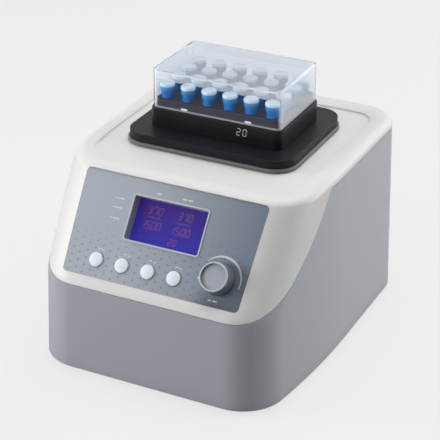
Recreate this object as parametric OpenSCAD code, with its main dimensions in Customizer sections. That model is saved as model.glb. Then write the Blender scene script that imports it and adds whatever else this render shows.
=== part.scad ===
// Bench thermal mixer: a heated, orbiting block of sealed tubes on a two-shell moulded case.
// Frame: millimetres, +Z up, front towards -Y, origin on the table under the middle of the case.

/* [Case] */
// Width of the case at its base
body_w = 246; // [230:1:262]
// Depth of the case at its base
body_d = 291; // [275:1:305]
// Height of the tray on top of the case
tray_z = 174.2; // [172:0.2:180]
// Inward lean of the front and side walls, in mm per mm of height
draft = 0.03; // [0:0.005:0.05]
// Thickness of the moulded walls
wall = 3.2; // [2.6:0.1:4]
// Radius of the front corners in plan
corner_r = 40; // [30:1:46]
// Radius of the rear corners in plan
back_r = 34; // [24:1:42]
// Radius of the gentle bow of the side walls
side_r = 790; // [650:10:1000]
// Round of the top edge
edge_r = 8; // [5:0.5:10]
// Height of the rim round the tray
rim_h = 1.6; // [0.8:0.2:2.4]
// Width of the rim at the sides
rim_w = 17; // [13:0.5:21]
// Width of the rim at the back
rim_back = 25; // [18:1:32]
// Bevel on both sides of the joint line between the shells
seam = 0.5; // [0.3:0.1:0.8]
// Radius of the joint line's sweep down to the front
seam_r = 247; // [220:1:300]

/* [Panel] */
// Slope of the control panel above the horizontal
slope = 53.8; // [50:0.2:57]
// Height of the panel's lower edge above the table
panel_z = 95; // [92:0.5:99]
// Height of the tray above the panel's upper edge
panel_drop = 5; // [4.6:0.2:9]
// Half width of the panel at its lower edge
panel_low = 83; // [78:0.5:85]
// Half width of the panel at its upper edge
panel_high = 86.4; // [80:0.2:88]
// Depth of the panel's pocket in the cover
pocket = 2; // [1.4:0.1:2.2]
// Thickness of the panel overlay
overlay_t = 0.8; // [0.4:0.1:1.2]
// Width of the display window
screen_w = 69.6; // [60:0.2:74]
// Height of the display window up the slope
screen_h = 38.4; // [32:0.2:42]
// Height of the window's lower edge up the slope
screen_v = 38.4; // [36:0.2:42]
// Depth of the display below the overlay
screen_d = 10; // [7:0.5:12]

/* [Controls] */
// Diameter of a push button
button_d = 12.6; // [10:0.2:14]
// Distance between the push buttons
button_pitch = 24.8; // [20:0.2:26]
// Place of the first button across the panel
button_u = -54.5; // [-58:0.5:-48]
// Height of the buttons up the slope
button_v = 15.2; // [13:0.2:18]
// Height of a button above the overlay
button_h = 2; // [1.5:0.1:3]
// Travel of a button
button_travel = 1.2; // [0.8:0.1:1.4]
// Clearance round a button
button_gap = 0.3; // [0.2:0.05:0.5]
// Diameter of the knob at its foot
knob_d = 28; // [24:0.5:30]
// Diameter of the knob's top face
knob_top = 25.4; // [22:0.2:27]
// Height of the knob above the overlay
knob_h = 14; // [10:0.5:18]
// Place of the knob across the panel
knob_u = 59.8; // [56:0.2:62]
// Height of the knob up the slope
knob_v = 23.6; // [20:0.2:26]
// Travel of the knob when it is pressed
knob_travel = 1; // [0.6:0.1:1.2]
// Diameter of the encoder's spindle
spindle_d = 6; // [5:0.5:7]

/* [Platform] */
// Width of the platform plate
plate_w = 160; // [150:1:166]
// Depth of the platform plate
plate_d = 128; // [118:1:134]
// Thickness of the platform plate
plate_t = 7.4; // [6.4:0.2:9]
// Corner radius of the platform plate
plate_r = 20; // [12:1:26]
// Thickness of the skirt below the plate
skirt_t = 2.6; // [2:0.2:3.4]
// Reach of the skirt beyond the plate
skirt_out = 1.6; // [0.8:0.2:2.4]
// Gap between the skirt and the tray
skirt_gap = 1.4; // [1:0.1:2.4]
// Depth of the nest that holds the block
nest = 5; // [3:0.2:5.4]
// Radius of the platform's orbit
orbit = 1.5; // [1:0.1:1.8]
// Place of the drive axis behind the middle of the case
drive_y = 28; // [24:0.5:32]

/* [Block] */
// Width of the heating block
block_w = 128; // [124:0.5:132]
// Depth of the heating block
block_d = 84; // [82:0.5:90]
// Height of the block above the plate, up to the lid's ledge
ledge_h = 17.3; // [15:0.1:20]
// Height of the block's upper step above the ledge
step_h = 8.4; // [6:0.2:11]
// Corner radius of the block
block_r = 7; // [4:0.5:10]
// Inset of the lid from the block's sides
lid_inset = 1.6; // [1:0.1:2.4]
// Wall of the clear lid
lid_t = 2; // [1.5:0.1:2.4]
// Height of the clear lid
lid_h = 36; // [34:0.5:42]
// Clearance between the lid and the block's step
lid_gap = 0.4; // [0.3:0.1:0.8]

/* [Tubes] */
// Tubes along the block
tube_cols = 6; // [4:1:6]
// Tubes across the block
tube_rows = 4; // [2:1:4]
// Space between the outer caps and the lid, front and back
cap_gap = 1.1; // [0.9:0.1:2]
// Space between the outer caps and the lid at the ends
end_gap = 2.7; // [1:0.1:4]
// Diameter of a tube's body
tube_d = 10.8; // [10:0.1:11.4]
// Diameter of a tube's collar and cap
collar_d = 13.4; // [12.4:0.1:13.8]
// Length of a tube with its cap
tube_len = 40.5; // [39:0.5:42]
// Height of the caps above the block
tube_out = 13.6; // [12:0.2:14.6]
// Wall of a tube
tube_t = 1; // [0.7:0.1:1.3]
// Clearance round a tube in its bore
tube_gap = 0.1; // [0.05:0.05:0.3]

/* [Drive] */
// Thickness of the drive deck
deck_t = 6; // [5:0.5:8]
// Height of the drive deck's top
deck_z = 132; // [128:1:136]
// Diameter of the drive shaft and of the eccentric pin
shaft_d = 10; // [8:0.5:12]
// Diameter of the motor
motor_d = 62; // [50:1:68]
// Length of the motor
motor_h = 48; // [36:1:60]
// Diameter of an idler's pin
idler_d = 6; // [5:0.5:7]
// Distance of the idlers from the drive axis, across
idler_x = 48; // [46:0.5:49]
// Distance of the idlers from the drive axis, front to back
idler_y = 31; // [29:0.5:32]
// Running clearance of the idlers' pins in their bushes
idler_play = 0.3; // [0.25:0.05:0.4]
// Distance of the pillars from the deck's edges
pillar_in = 9; // [7:0.5:12]

/* [Base] */
// Height of the rubber feet below the case
foot_h = 4; // [3:0.5:8]
// Diameter of the rubber feet
foot_d = 20; // [16:1:26]
// Thickness of the steel base plate
base_t = 1.5; // [1:0.1:2.5]
// Diameter of the case screws
screw_d = 3; // [2.5:0.5:4]
// Side of the fan
fan_w = 60; // [50:1:64]
// Depth of the fan
fan_t = 15; // [12:1:20]
// Width of a cooling slot
slot_w = 3; // [2:0.2:3.2]

/* [Hidden] */
$fn = 48;
cut = 1;                        // how far a cutter runs past a face
sink = 0.3;                     // how far a rib or leg runs into the wall that it joins
seat = 0.05;                    // running fit, on the radius
touch = 0.1;                    // clearance of a piece that rests against a stop

// Levels
base_z = foot_h;                // lower edge of the housing
plate_bottom = foot_h + 1;      // underside of the base plate
base_top = plate_bottom + base_t;
tray_t = 3.2;                   // thickness of the tray's floor
deck_low = deck_z - deck_t;

// Plan of the case
front_y = -body_d / 2;
back_y = body_d / 2;
bow_y = 9.5;                    // where the side walls start to bow in
inset = pocket - overlay_t;     // the cover stands this far above the overlay's face
cover_wall = wall + pocket;     // the cover is thicker, because the pocket is cut from it
cover_in = inset - cover_wall * sin(slope);     // the cover's inner face, below the overlay's face
panel_y = front_y + 9.1;        // overlay's lower edge, front to back
panel_h = (tray_z - panel_drop - panel_z) / sin(slope);
crease_z = (front_y - panel_y + inset / sin(slope) - draft * base_z + panel_z / tan(slope))
    / (1 / tan(slope) - draft);

// Joint line between the shells: level along the front and the sides, joined by an arc
seam_low = crease_z - 2;
seam_high = tray_z - 7.2;
seam_y = front_y - 74.1;        // centre of the arc
seam_z = seam_low + 0.948 * seam_r;
knee_y = seam_y + 0.78 * seam_r;
shoulder_z = seam_high + 3 * seam;
corner_n = 12;                  // steps round a front corner
side_n = 10;                    // steps along a bowed side
back_n = 7;                     // steps round a rear corner
half_n = corner_n + side_n + back_n + 2;

// Screws, bosses and feet
boss_x = body_w / 2 - draft * (tray_z - base_z) - 11;
boss_y = [front_y + 87.5, back_y - 47.5];
boss_h = 46;
boss_top = base_top + boss_h;
pilot = 12;                     // depth of a screw in its blind hole
foot_x = body_w / 2 - 35;
foot_y = body_d / 2 - 33.5;

// Back panel
inlet_w = 27.4;
inlet_h = 32;
inlet_x = -(body_w / 2 - back_r - inlet_w / 2 - 4.3);
inlet_z = foot_h + 34;
switch_w = 22;
switch_h = 30;
switch_z = inlet_z + 44;
face_t = 1.6;                   // thickness of the flanges of the inlet and the switch
face_out = 2.5;                 // reach of the inlet's flange beyond its hole
socket_d = 20;                  // depth of the bodies behind them
plug_w = 24;                    // opening for the plug
plug_h = 17;
plug_in = 15;
plug_v = inlet_h / 2 - plug_h / 2 - 3;
pin_l = 12;                     // contacts
pin_w = 4;
pin_t = 2;
fuse_w = 22;                    // opening for the fuse drawer
fuse_h = 7;
fuse_in = 12;
fuse_v = fuse_h / 2 + 1.9 - inlet_h / 2;
rocker_w = switch_w - 6.6;
rocker_l = switch_h - 6.2;
rocker_gap = 0.3;
rocker_z = 3;                   // depth of the rocker's pivot in the wall
rocker_r = 21.4;                // radius of the rocker's back
rocker_out = 4.4;               // the rocker's middle stands this far out of its pivot
rocker_tilt = 8;
pivot_d = 2;
fan_x = body_w / 2 - back_r - fan_w / 2 - 4;
fan_z = foot_h + 66;
fan_hub = 24;                   // the fan's hub, spokes, blades and pin
fan_bar = 3;
fan_rim = 2;
fan_pin = 3;
blade_n = 7;
blade_t = 1.4;
blade_w = 10.8;
slot_n = 8;
slot_pitch = 2.3 * slot_w;

// Panel pieces, below the overlay's face
lip = 2;                        // wall of the display's bezel and frame
flange_t = 1.2;
flange_h = cover_in - touch - flange_t;
stem = 2;
board_t = 1.6;
switch_t = 3.4;
key_h = flange_h - stem - button_travel - touch;        // top of the key switches
key_z = key_h - switch_t;                               // top of the key board
window_t = 1.2;
glass_t = 2.8;
frame_t = 6.8;
glass_h = -screen_d - window_t - glass_t;
frame_h = -screen_d - window_t - frame_t;
nut_bore = spindle_d + 3.2;     // hole for the encoder's threaded neck
nut_d = nut_bore + 4.8;
nut_t = 1.6;
encoder_t = 6;
spindle_in = 4;                 // depth of the spindle's bore in the encoder

// Drive
deck_screw = 4;
pillar_x = idler_x + 9;
pillar_y = idler_y + 8;
deck_w = 2 * (pillar_x + pillar_in);
deck_d = 2 * (pillar_y + pillar_in);
hub_z = deck_z + 5;
hub_h = 9;
hub_d = 40;
weight_d = 78;
motor_z = deck_low - 8 - motor_h;
bearing_d = shaft_d + 14;
bearing_h = 7;
idler_bore = idler_d + 6;
crank_d = 13;
carrier_z = tray_z - 10;
carrier_t = 6.8;
carrier_w = 2 * (idler_x + 9);
carrier_d = 2 * (idler_y + 10);
carrier_top = carrier_z + carrier_t;
boss_low = hub_z + hub_h + 2;   // underside of the carrier's boss
bush_d = idler_d + 4;
bush_in = 5;                    // reach of the bushes below the carrier

// Platform and block
plat_y = drive_y + orbit;       // middle of the platform at rest
opening_x = carrier_w / 2 + orbit + 1;
opening_y = carrier_d / 2 + orbit + 1;
opening_r = 14;
plate_low = tray_z + skirt_gap + skirt_t;
plate_z = plate_low + plate_t;
heater_t = 1;
sensor_d = 5;
sensor_in = 0.8;                // depth of the sensor's seat in the plate
post_x = 40;
post_y = 26;
post_d = 8;
block_low = plate_z - nest;
ledge_z = plate_z + ledge_h;
step_z = ledge_z + step_h;
step_w = block_w - 2 * (lid_inset + lid_t + lid_gap);
step_d = block_d - 2 * (lid_inset + lid_t + lid_gap);
clip_w = 6;
clip_x = 31;
tube_top = step_z + tube_out;
tube_low = tube_top - tube_len;
cap_t = 2.4;
tab = 0.5;                      // reach of a cap's lip beyond its edge
pitch_x = (block_w - 2 * (lid_inset + lid_t + end_gap) - collar_d) / (tube_cols - 1);
pitch_y = (block_d - 2 * (lid_inset + lid_t + cap_gap) - collar_d) / (tube_rows - 1);

// Boards on the base
rise = 6;                       // height of the standoffs
control_y = front_y + 47.5;
control_w = 150;
control_d = 62;
power_w = 46;
power_d = 96;
power_x = -(pillar_x + 6 + power_w / 2);
power_y = boss_y[1] - 10 - power_d / 2;
coil_w = 34;                    // transformer
coil_d = 28;
coil_h = 24;
coil_y = -6;
can_d = 16;                     // capacitors
can_h = 26;
can_x = 12;
can_y = -32;
sink_w = 40;                    // heat sink and its fins
sink_h = 26;
sink_t = 3;
sink_y = 26;
fin_t = 1.6;
fin_d = 8;
fin_pitch = 4.6;

// Half width of the case at a height, and at a depth and a height, and its front face
function case_w(z) = body_w / 2 - draft * (z - base_z);
function side_x(y, z) = y > bow_y ? case_w(z)
    : case_w(z) - side_r + sqrt(side_r * side_r - pow(y - bow_y, 2));
function case_f(z) = max(front_y + draft * (z - base_z),
    panel_y - inset / sin(slope) + (z - panel_z) / tan(slope));

// Point k of the right half of an outline: half width w, front f, back b, front corner r, rear
// corner rb, side radius s, all moved inwards by d
function bowed(k, w, f, b, r, rb, s, d) =
    let (cy = f + r, th = asin((bow_y - cy) / (s - r)), cx = w - s + (s - r) * cos(th))
    k <= corner_n
        ? let (a = -90 + (90 - th) * k / corner_n) [cx + (r - d) * cos(a), cy + (r - d) * sin(a)]
    : k <= corner_n + side_n
        ? let (a = -th * (1 - (k - corner_n) / side_n)) [w - s + (s - d) * cos(a), bow_y + (s - d) * sin(a)]
    : let (a = 90 * (k - corner_n - side_n - 1) / back_n)
        [w - rb + (rb - d) * cos(a), b - rb + (rb - d) * sin(a)];
// Point k of the right half of a plain rounded rectangle, in the same order
function boxed(k, w, f, b, r) = k <= corner_n
        ? let (a = -90 + 90 * k / corner_n) [w - r + r * cos(a), f + r + r * sin(a)]
    : k <= corner_n + side_n
        ? [w, f + r + (b - f - 2 * r) * (k - corner_n) / (side_n + 1)]
    : let (a = 90 * (k - corner_n - side_n - 1) / back_n) [w - r + r * cos(a), b - r + r * sin(a)];
function case_at(k, z, d) = bowed(k, case_w(z), case_f(z), back_y, corner_r, back_r, side_r, d);

// Height of the joint line at a depth
function seam_at(y) = y > knee_y ? seam_high
    : min(seam_high, max(seam_low, seam_z - sqrt(seam_r * seam_r - pow(y - seam_y, 2))));
// Height at which the wall at point k meets the joint line, by n halvings
function meet(k, lo, hi, n) = n == 0 ? (lo + hi) / 2
    : let (m = (lo + hi) / 2) m < seam_at(case_at(k, m, 0)[1])
        ? meet(k, m, hi, n - 1) : meet(k, lo, m, n - 1);
SEAM = [for (k = [0:half_n - 1]) meet(k, seam_low - 4, seam_high + 0.01, 22)];
// The tray's rim fades out towards the front
function rim_at(y) = tray_z + rim_h * min(1, max(0, (y + 62) / 30));

// A ring of the case: a right half of [x, y, z] points, closed by its mirror image
function ring(half) = concat(half, [for (k = [half_n - 1:-1:0]) [-half[k][0], half[k][1], half[k][2]]]);
function lift(p, z) = [p[0], p[1], z];
function level(z, d) = ring([for (k = [0:half_n - 1]) lift(case_at(k, z, d), z)]);
function along(dz, d) = wave([for (s = SEAM) s + dz], d);
function wave(zs, d) = ring([for (k = [0:half_n - 1]) lift(case_at(k, zs[k], d), zs[k])]);
// Skin of closed rings, each joined to the next and the last to the first
module skin(rings) {
    n = 2 * half_n;
    m = len(rings);
    polyhedron([for (r = rings) each r],
        [for (j = [0:m - 1], i = [0:n - 1]) let (a = j * n, b = ((j + 1) % m) * n, e = (i + 1) % n)
            [a + i, b + i, b + e, a + e]], 8);
}

// Rounded rectangle about the origin, and a slab of it
module plan(w, d, r = 0) {
    if (r > 0) {
        square([w - 2 * r, d], center = true);
        square([w, d - 2 * r], center = true);
        for (x = [-1, 1], y = [-1, 1]) translate([x * (w / 2 - r), y * (d / 2 - r)]) circle(r);
    } else square([w, d], center = true);
}
module box(w, d, h, r = 0) { linear_extrude(h) plan(w, d, r); }
module drill(d, z, h) { translate([0, 0, z]) cylinder(d = d, h = h); }
module tube(d, id, h) {
    difference() {
        cylinder(d = d, h = h);
        drill(id, -cut, h + 2 * cut);
    }
}
module corners(x, y) { for (i = [-1, 1], j = [-1, 1]) translate([i * x, j * y]) children(); }

// Frame of the control panel: X across, Y up the slope, Z outwards from the overlay's face
module on_panel(u = 0, v = 0, h = 0) {
    translate([0, panel_y, panel_z]) rotate([slope, 0, 0]) translate([u, v, h]) children();
}
module at_buttons() { for (i = [0:3]) translate([button_u + i * button_pitch, button_v]) children(); }
module at_key_posts() {
    for (i = [0.5, 2.5]) translate([button_u + i * button_pitch, button_v + 7.5]) children();
}
module at_screen() { translate([0, screen_v + screen_h / 2]) children(); }
module at_screen_posts() { at_screen() corners(screen_w / 2 + 6, screen_h / 2 + 7) children(); }

// Frame of the back wall: X across, Y up, Z inwards
module on_back(x, z, y = 0) { translate([x, back_y - y, z]) rotate([90, 0, 0]) children(); }
module at_bosses() { for (i = [-1, 1], y = boss_y) translate([i * boss_x, y]) children(); }
module at_drive() { translate([0, drive_y]) children(); }
module at_platform() { translate([0, plat_y]) children(); }
module at_idlers(y = drive_y) { translate([0, y]) corners(idler_x, idler_y) children(); }
module at_pillars() { at_drive() corners(pillar_x, pillar_y) children(); }
module at_posts() { at_platform() corners(post_x, post_y) children(); }

// Outline of the overlay: a trapezium with rounded corners, grown by g
module panel_plan(g = 0) {
    r = 4;
    lean = (panel_high - panel_low) / panel_h;
    low = panel_low + g;
    high = panel_high + g;
    top = panel_h + g;
    polygon([[-low + r, -g], [low - r, -g], [low + lean * r, r - g], [high - lean * r, top - r],
        [high - r, top], [-high + r, top], [-high + lean * r, top - r], [-low - lean * r, r - g]]);
    for (i = [-1, 1]) {
        translate([i * (low - r), r - g]) circle(r);
        translate([i * (high - r), top - r]) circle(r);
    }
}

// Case: a grey lower housing and a white cover that meet along a line that sweeps down to the front
module lower_housing() color([0.54, 0.55, 0.58]) difference() {
    crest = [for (s = SEAM) min(crease_z, s - 2 * seam)];
    union() {
        skin([level(base_z, 1), level(base_z + 1, 0), wave(crest, 0), along(-seam, 0),
            along(0, seam), along(0, wall), wave(crest, wall), level(base_z, wall)]);
        at_bosses() drill(12, base_top, boss_h);
        for (i = [0, 1], y = boss_y) mirror([i, 0, 0]) translate([boss_x, y - 1.5, base_top + 3])
            cube([side_x(y, boss_top) - wall / 2 - boss_x, 3, boss_h - 6]);
    }
    at_bosses() drill(screw_d + 0.4, base_top - cut, boss_h + 2 * cut);
    on_back(inlet_x, inlet_z, -cut) box(inlet_w, inlet_h, wall + 2 * cut, 2);
    on_back(inlet_x, switch_z, -cut) box(switch_h, switch_w, wall + 2 * cut);
    for (i = [0:slot_n - 1]) on_back(fan_x + (i - (slot_n - 1) / 2) * slot_pitch, fan_z, -cut)
        box(slot_w, fan_w - 14, wall + 2 * cut, slot_w / 2 - 0.01);
}
// Legs of the cover stand on the housing's bosses, and posts behind the panel carry the boards
module top_cover() color([0.9, 0.89, 0.88]) difference() {
    crest = [for (s = SEAM) max(crease_z, s + 2 * seam)];
    tray = [for (k = [0:half_n - 1]) bowed(k, case_w(tray_z) - rim_w, case_f(tray_z) + rim_w - edge_r,
        back_y - rim_back, 26, 20, side_r, 0)];
    well = [for (k = [0:half_n - 1]) bowed(k, case_w(tray_z) - rim_w, case_f(tray_z) + rim_w - edge_r,
        back_y - rim_back, 26, 20, side_r, 0.7)];
    opening = [for (k = [0:half_n - 1])
        boxed(k, opening_x, drive_y - opening_y, drive_y + opening_y, opening_r)];
    edge = [for (a = [18:18:90]) ring([for (k = [0:half_n - 1])
        let (top = rim_at(case_at(k, tray_z, 0)[1]), z = shoulder_z + (top - shoulder_z) * sin(a))
        lift(case_at(k, z, edge_r * (1 - cos(a))), z)])];
    union() {
        skin(concat([along(0, seam), along(seam, 0), wave(crest, 0), level(shoulder_z, 0)], edge,
            [ring([for (p = tray) lift(p, rim_at(p[1]))]), ring([for (p = well) lift(p, tray_z)]),
            ring([for (p = opening) lift(p, tray_z)]), ring([for (p = opening) lift(p, tray_z - tray_t)]),
            level(tray_z - tray_t, cover_wall + 3), level(shoulder_z, cover_wall), wave(crest, cover_wall),
            along(0, wall)]));
        at_bosses() drill(10, boss_top, tray_z - tray_t + sink - boss_top);
        on_panel() {
            at_key_posts() drill(5, key_z, cover_in + sink - key_z);
            at_key_posts() drill(2.4, key_z - board_t - 0.8, 4);
            at_screen_posts() drill(5, frame_h, cover_in + sink - frame_h);
            at_screen_posts() drill(2.4, frame_h - board_t - 0.8, 4);
        }
    }
    at_bosses() drill(screw_d, boss_top - cut, pilot + cut);
    on_panel(0, 0, -overlay_t) linear_extrude(10) panel_plan(0.3);
    on_panel(0, 0, cover_in - 2) {
        at_screen() box(screen_w + 2 * lip + 0.4, screen_h + 2 * lip + 0.4, 10, 2);
        at_buttons() cylinder(d = button_d + 2 * button_gap, h = 10);
        translate([knob_u, knob_v]) cylinder(d = nut_bore, h = 10);
    }
}
module base_plate() color([0.72, 0.73, 0.75]) difference() {
    translate([0, 0, plate_bottom]) linear_extrude(base_t)
        polygon([for (p = level(plate_bottom, wall + 0.3)) [p[0], p[1]]]);
    at_bosses() drill(screw_d + 0.4, plate_bottom - cut, base_t + 2 * cut);
    for (i = [-4:4], j = [-1, 1]) translate([j * 60 + i * 2 * slot_w, -20, plate_bottom - cut])
        box(slot_w, 44, base_t + 2 * cut, slot_w / 2 - 0.01);
}
module rubber_feet() color([0.1, 0.1, 0.11]) corners(foot_x, foot_y) difference() {
    rotate_extrude() polygon([[0, 0], [foot_d / 2 - 1, 0], [foot_d / 2, 1],
        [foot_d / 2 - 0.6, plate_bottom], [0, plate_bottom]]);
    drill(7, -cut, cut + 2);
}
// Long screws hold the plate, the housing and the cover together; short ones hold the deck
module machine_screws() color([0.75, 0.76, 0.78]) {
    at_bosses() {
        drill(2 * screw_d, plate_bottom - 0.6 * screw_d, 0.6 * screw_d);
        drill(screw_d, plate_bottom, boss_top + pilot - plate_bottom);
    }
    at_pillars() difference() {
        union() {
            drill(1.75 * deck_screw, deck_z, 0.75 * deck_screw);
            drill(deck_screw, deck_low - pilot, deck_t + pilot + cut);
        }
        translate([0, 0, deck_z + 0.3 * deck_screw])
            cylinder(d = 0.85 * deck_screw, h = deck_screw, $fn = 6);
    }
}

// Drive: the motor turns an eccentric pin, and four cranks keep the platform square
module drive_pillars() color([0.78, 0.79, 0.8]) at_pillars() difference() {
    translate([0, 0, base_top]) cylinder(d = 2.5 * deck_screw, h = deck_low - base_top, $fn = 6);
    drill(deck_screw, deck_low - pilot, pilot + cut);
}
module drive_deck() color([0.7, 0.71, 0.73]) difference() {
    at_drive() {
        translate([0, 0, deck_low]) box(deck_w, deck_d, deck_t, 10);
        for (a = [45:90:315]) rotate(a) translate([30, -1.5, deck_low - 6]) cube([24, 3, 6 + sink]);
    }
    at_drive() drill(bearing_d, deck_low - cut, deck_t + 2 * cut);
    at_idlers() drill(idler_bore, deck_low - cut, deck_t + 2 * cut);
    at_pillars() drill(deck_screw, deck_low - cut, deck_t + 2 * cut);
    at_drive() for (y = [-1, 1]) translate([0, y * (deck_d / 2 - 10), deck_low - cut])
        box(40, 8, deck_t + 2 * cut, 3.9);
}
module motor_body() color([0.32, 0.33, 0.35]) at_drive() difference() {
    union() {
        translate([0, 0, motor_z]) rotate_extrude() polygon([[0, 0], [motor_d / 2 - 2, 0],
            [motor_d / 2, 2], [motor_d / 2, motor_h - 2], [motor_d / 2 - 2, motor_h], [0, motor_h]]);
        for (a = [0:90:270]) rotate(a) translate([motor_d / 2 - 8, 0])
            drill(8, motor_z + motor_h - sink, deck_low - motor_z - motor_h + sink);
    }
    drill(shaft_d + 1, motor_z + 6, motor_h);
}
module deck_bearings() color([0.75, 0.76, 0.78]) {
    at_drive() translate([0, 0, deck_z - bearing_h]) difference() {
        cylinder(d = bearing_d - 2 * seat, h = bearing_h);
        drill(shaft_d + 2 * seat, -cut, bearing_h + 2 * cut);
        translate([0, 0, bearing_h - 0.6]) tube(bearing_d - 5, shaft_d + 5, cut);
    }
    at_idlers() translate([0, 0, deck_low]) difference() {
        union() {
            cylinder(d = idler_bore - 2 * seat, h = deck_t);
            drill(idler_bore + 2, deck_t, 1);
        }
        drill(idler_d + 2 * seat, -cut, deck_t + 1 + 2 * cut);
    }
}
module drive_shaft() color([0.8, 0.81, 0.83]) at_drive()
    drill(shaft_d, motor_z + 8, hub_z + hub_h - motor_z - 8);
module eccentric_hub() color([0.62, 0.63, 0.66]) at_drive() difference() {
    union() {
        drill(shaft_d + 8, hub_z - 4, 4 + sink);
        drill(hub_d, hub_z, hub_h);
        translate([0, orbit]) {
            drill(shaft_d + 4, hub_z + hub_h, 1);
            drill(shaft_d, hub_z + hub_h, carrier_z - 1 - hub_z - hub_h);
        }
    }
    drill(shaft_d + 2 * seat, hub_z - 4 - cut, hub_h + 4 + cut);
}
module counterweight() color([0.7, 0.6, 0.35]) at_drive() difference() {
    r = weight_d / 2;
    translate([0, 0, hub_z]) rotate(200) rotate_extrude(angle = 140)
        polygon([[hub_d / 2 + 0.02, 0], [r, 0], [r, hub_h - 1], [r - 1, hub_h], [hub_d / 2 + 0.02, hub_h]]);
    for (a = [235, 305]) rotate(a) translate([r - 9, 0]) drill(7, hub_z + hub_h - 3, 4);
}
module idler(i, j) color([0.7, 0.71, 0.74]) translate([i * idler_x, drive_y + j * idler_y]) {
    drill(idler_d, deck_low - 1, deck_t + 4);
    drill(crank_d, deck_z + 2, 5);
    translate([0, orbit]) drill(idler_d, deck_z + 7, carrier_z + 4 - deck_z - 7);
}
module idler_1() idler(-1, -1);
module idler_2() idler(1, -1);
module idler_3() idler(1, 1);
module idler_4() idler(-1, 1);

// Platform: a cast carrier, a heater on a pad of insulation, and the plate on four posts
module platform_carrier() color([0.74, 0.75, 0.77]) difference() {
    union() {
        at_platform() {
            translate([0, 0, carrier_z]) box(carrier_w, carrier_d, carrier_t, 9);
            drill(bearing_d + 8, boss_low, carrier_z - boss_low + sink);
            for (a = [33, 147, 213, 327]) rotate(a) translate([14, -1.5, carrier_z - 6])
                cube([36, 3, 6 + sink]);
        }
        at_idlers(plat_y) drill(bush_d + 5, carrier_z - bush_in, bush_in + sink);
    }
    at_platform() {
        drill(bearing_d, boss_low - cut, bearing_h + cut);
        drill(shaft_d + 6, boss_low, carrier_z - boss_low + 1);
        for (x = [-1, 1]) translate([x * 27, 0, carrier_z - cut]) box(20, 34, carrier_t + 2 * cut, 5);
    }
    at_idlers(plat_y) drill(bush_d, carrier_z - bush_in - cut, bush_in + carrier_t + 2 * cut);
}
module eccentric_bearing() color([0.75, 0.76, 0.78]) at_platform() translate([0, 0, boss_low]) difference() {
    cylinder(d = bearing_d - 2 * seat, h = bearing_h);
    drill(shaft_d + 2 * seat, -cut, bearing_h + 2 * cut);
}
module idler_bushes() color([0.72, 0.55, 0.3]) at_idlers(plat_y) difference() {
    union() {
        drill(bush_d - 2 * seat, carrier_z - bush_in, 10);
        drill(bush_d + 3, carrier_z - bush_in - 0.8, 0.8);
    }
    drill(idler_d + 2 * idler_play, carrier_z - bush_in - cut, 12);
}
module post_holes() {
    at_posts() drill(post_d + 0.6, carrier_z, plate_z - carrier_z);
    at_platform() drill(sensor_d + 0.4, carrier_z, plate_z - carrier_z);
}
module insulation_pad() color([0.85, 0.82, 0.7]) difference() {
    at_platform() translate([0, 0, carrier_top])
        box(carrier_w - 1, carrier_d - 1, plate_low - heater_t - carrier_top, 9);
    post_holes();
}
module heater_plate() color([0.75, 0.45, 0.15]) difference() {
    at_platform() translate([0, 0, plate_low - heater_t]) box(carrier_w - 3, carrier_d - 3, heater_t, 8);
    post_holes();
}
module temperature_sensor() color([0.86, 0.86, 0.84]) at_platform()
    drill(sensor_d, carrier_top, plate_low + sensor_in - carrier_top);
module platform_posts() color([0.8, 0.81, 0.83]) at_posts()
    drill(post_d, carrier_top, plate_low - carrier_top);
module platform_skirt() color([0.36, 0.35, 0.35]) at_platform() translate([0, 0, plate_low - skirt_t])
    difference() {
        box(plate_w + 2 * skirt_out, plate_d + 2 * skirt_out, skirt_t, plate_r + skirt_out);
        translate([0, 0, -cut]) box(carrier_w + 1, carrier_d + 1, skirt_t + 2 * cut, 9);
    }
module platform_plate() color([0.17, 0.16, 0.19]) at_platform() difference() {
    union() {
        translate([0, 0, plate_low]) box(plate_w, plate_d, plate_t - 0.5, plate_r);
        translate([0, 0, plate_z - 0.5]) box(plate_w - 1, plate_d - 1, 0.5, plate_r - 0.5);
    }
    translate([0, 0, block_low]) box(block_w + 0.6, block_d + 0.6, nest + cut, block_r + 0.3);
    drill(sensor_d + 2 * seat, plate_low - cut, sensor_in + cut);
}

// Block: a bored base, a step that the lid fits round, and the tubes
module at_tubes() {
    at_platform() for (i = [0:tube_cols - 1], j = [0:tube_rows - 1])
        translate([(i - (tube_cols - 1) / 2) * pitch_x, (j - (tube_rows - 1) / 2) * pitch_y]) children();
}
module at_clips() {
    at_platform() for (x = [-clip_x, clip_x]) {
        translate([x, -step_d / 2]) children();
        translate([x, step_d / 2]) rotate(180) children();
    }
}
module tube_bores() { at_tubes() drill(tube_d + 2 * tube_gap, tube_low - touch, tube_len); }
module heat_block() color([0.13, 0.13, 0.15]) difference() {
    at_platform() translate([0, 0, block_low]) box(block_w, block_d, ledge_z - block_low, block_r);
    tube_bores();
}
module block_step() color([0.16, 0.16, 0.18]) difference() {
    at_platform() {
        translate([0, 0, ledge_z]) box(step_w, step_d, step_h - 0.6, block_r - 2);
        translate([0, 0, step_z - 0.6]) box(step_w - 1.2, step_d - 1.2, 0.6, block_r - 2.6);
    }
    tube_bores();
    at_clips() translate([-clip_w / 2, -1, ledge_z + 1]) cube([clip_w, 2, 2.2]);
}
module block_clips() color([0.85, 0.85, 0.86]) at_clips()
    translate([-clip_w / 2 + touch, -touch, ledge_z + 1 + touch]) cube([clip_w - 2 * touch, 1, 2]);
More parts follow.
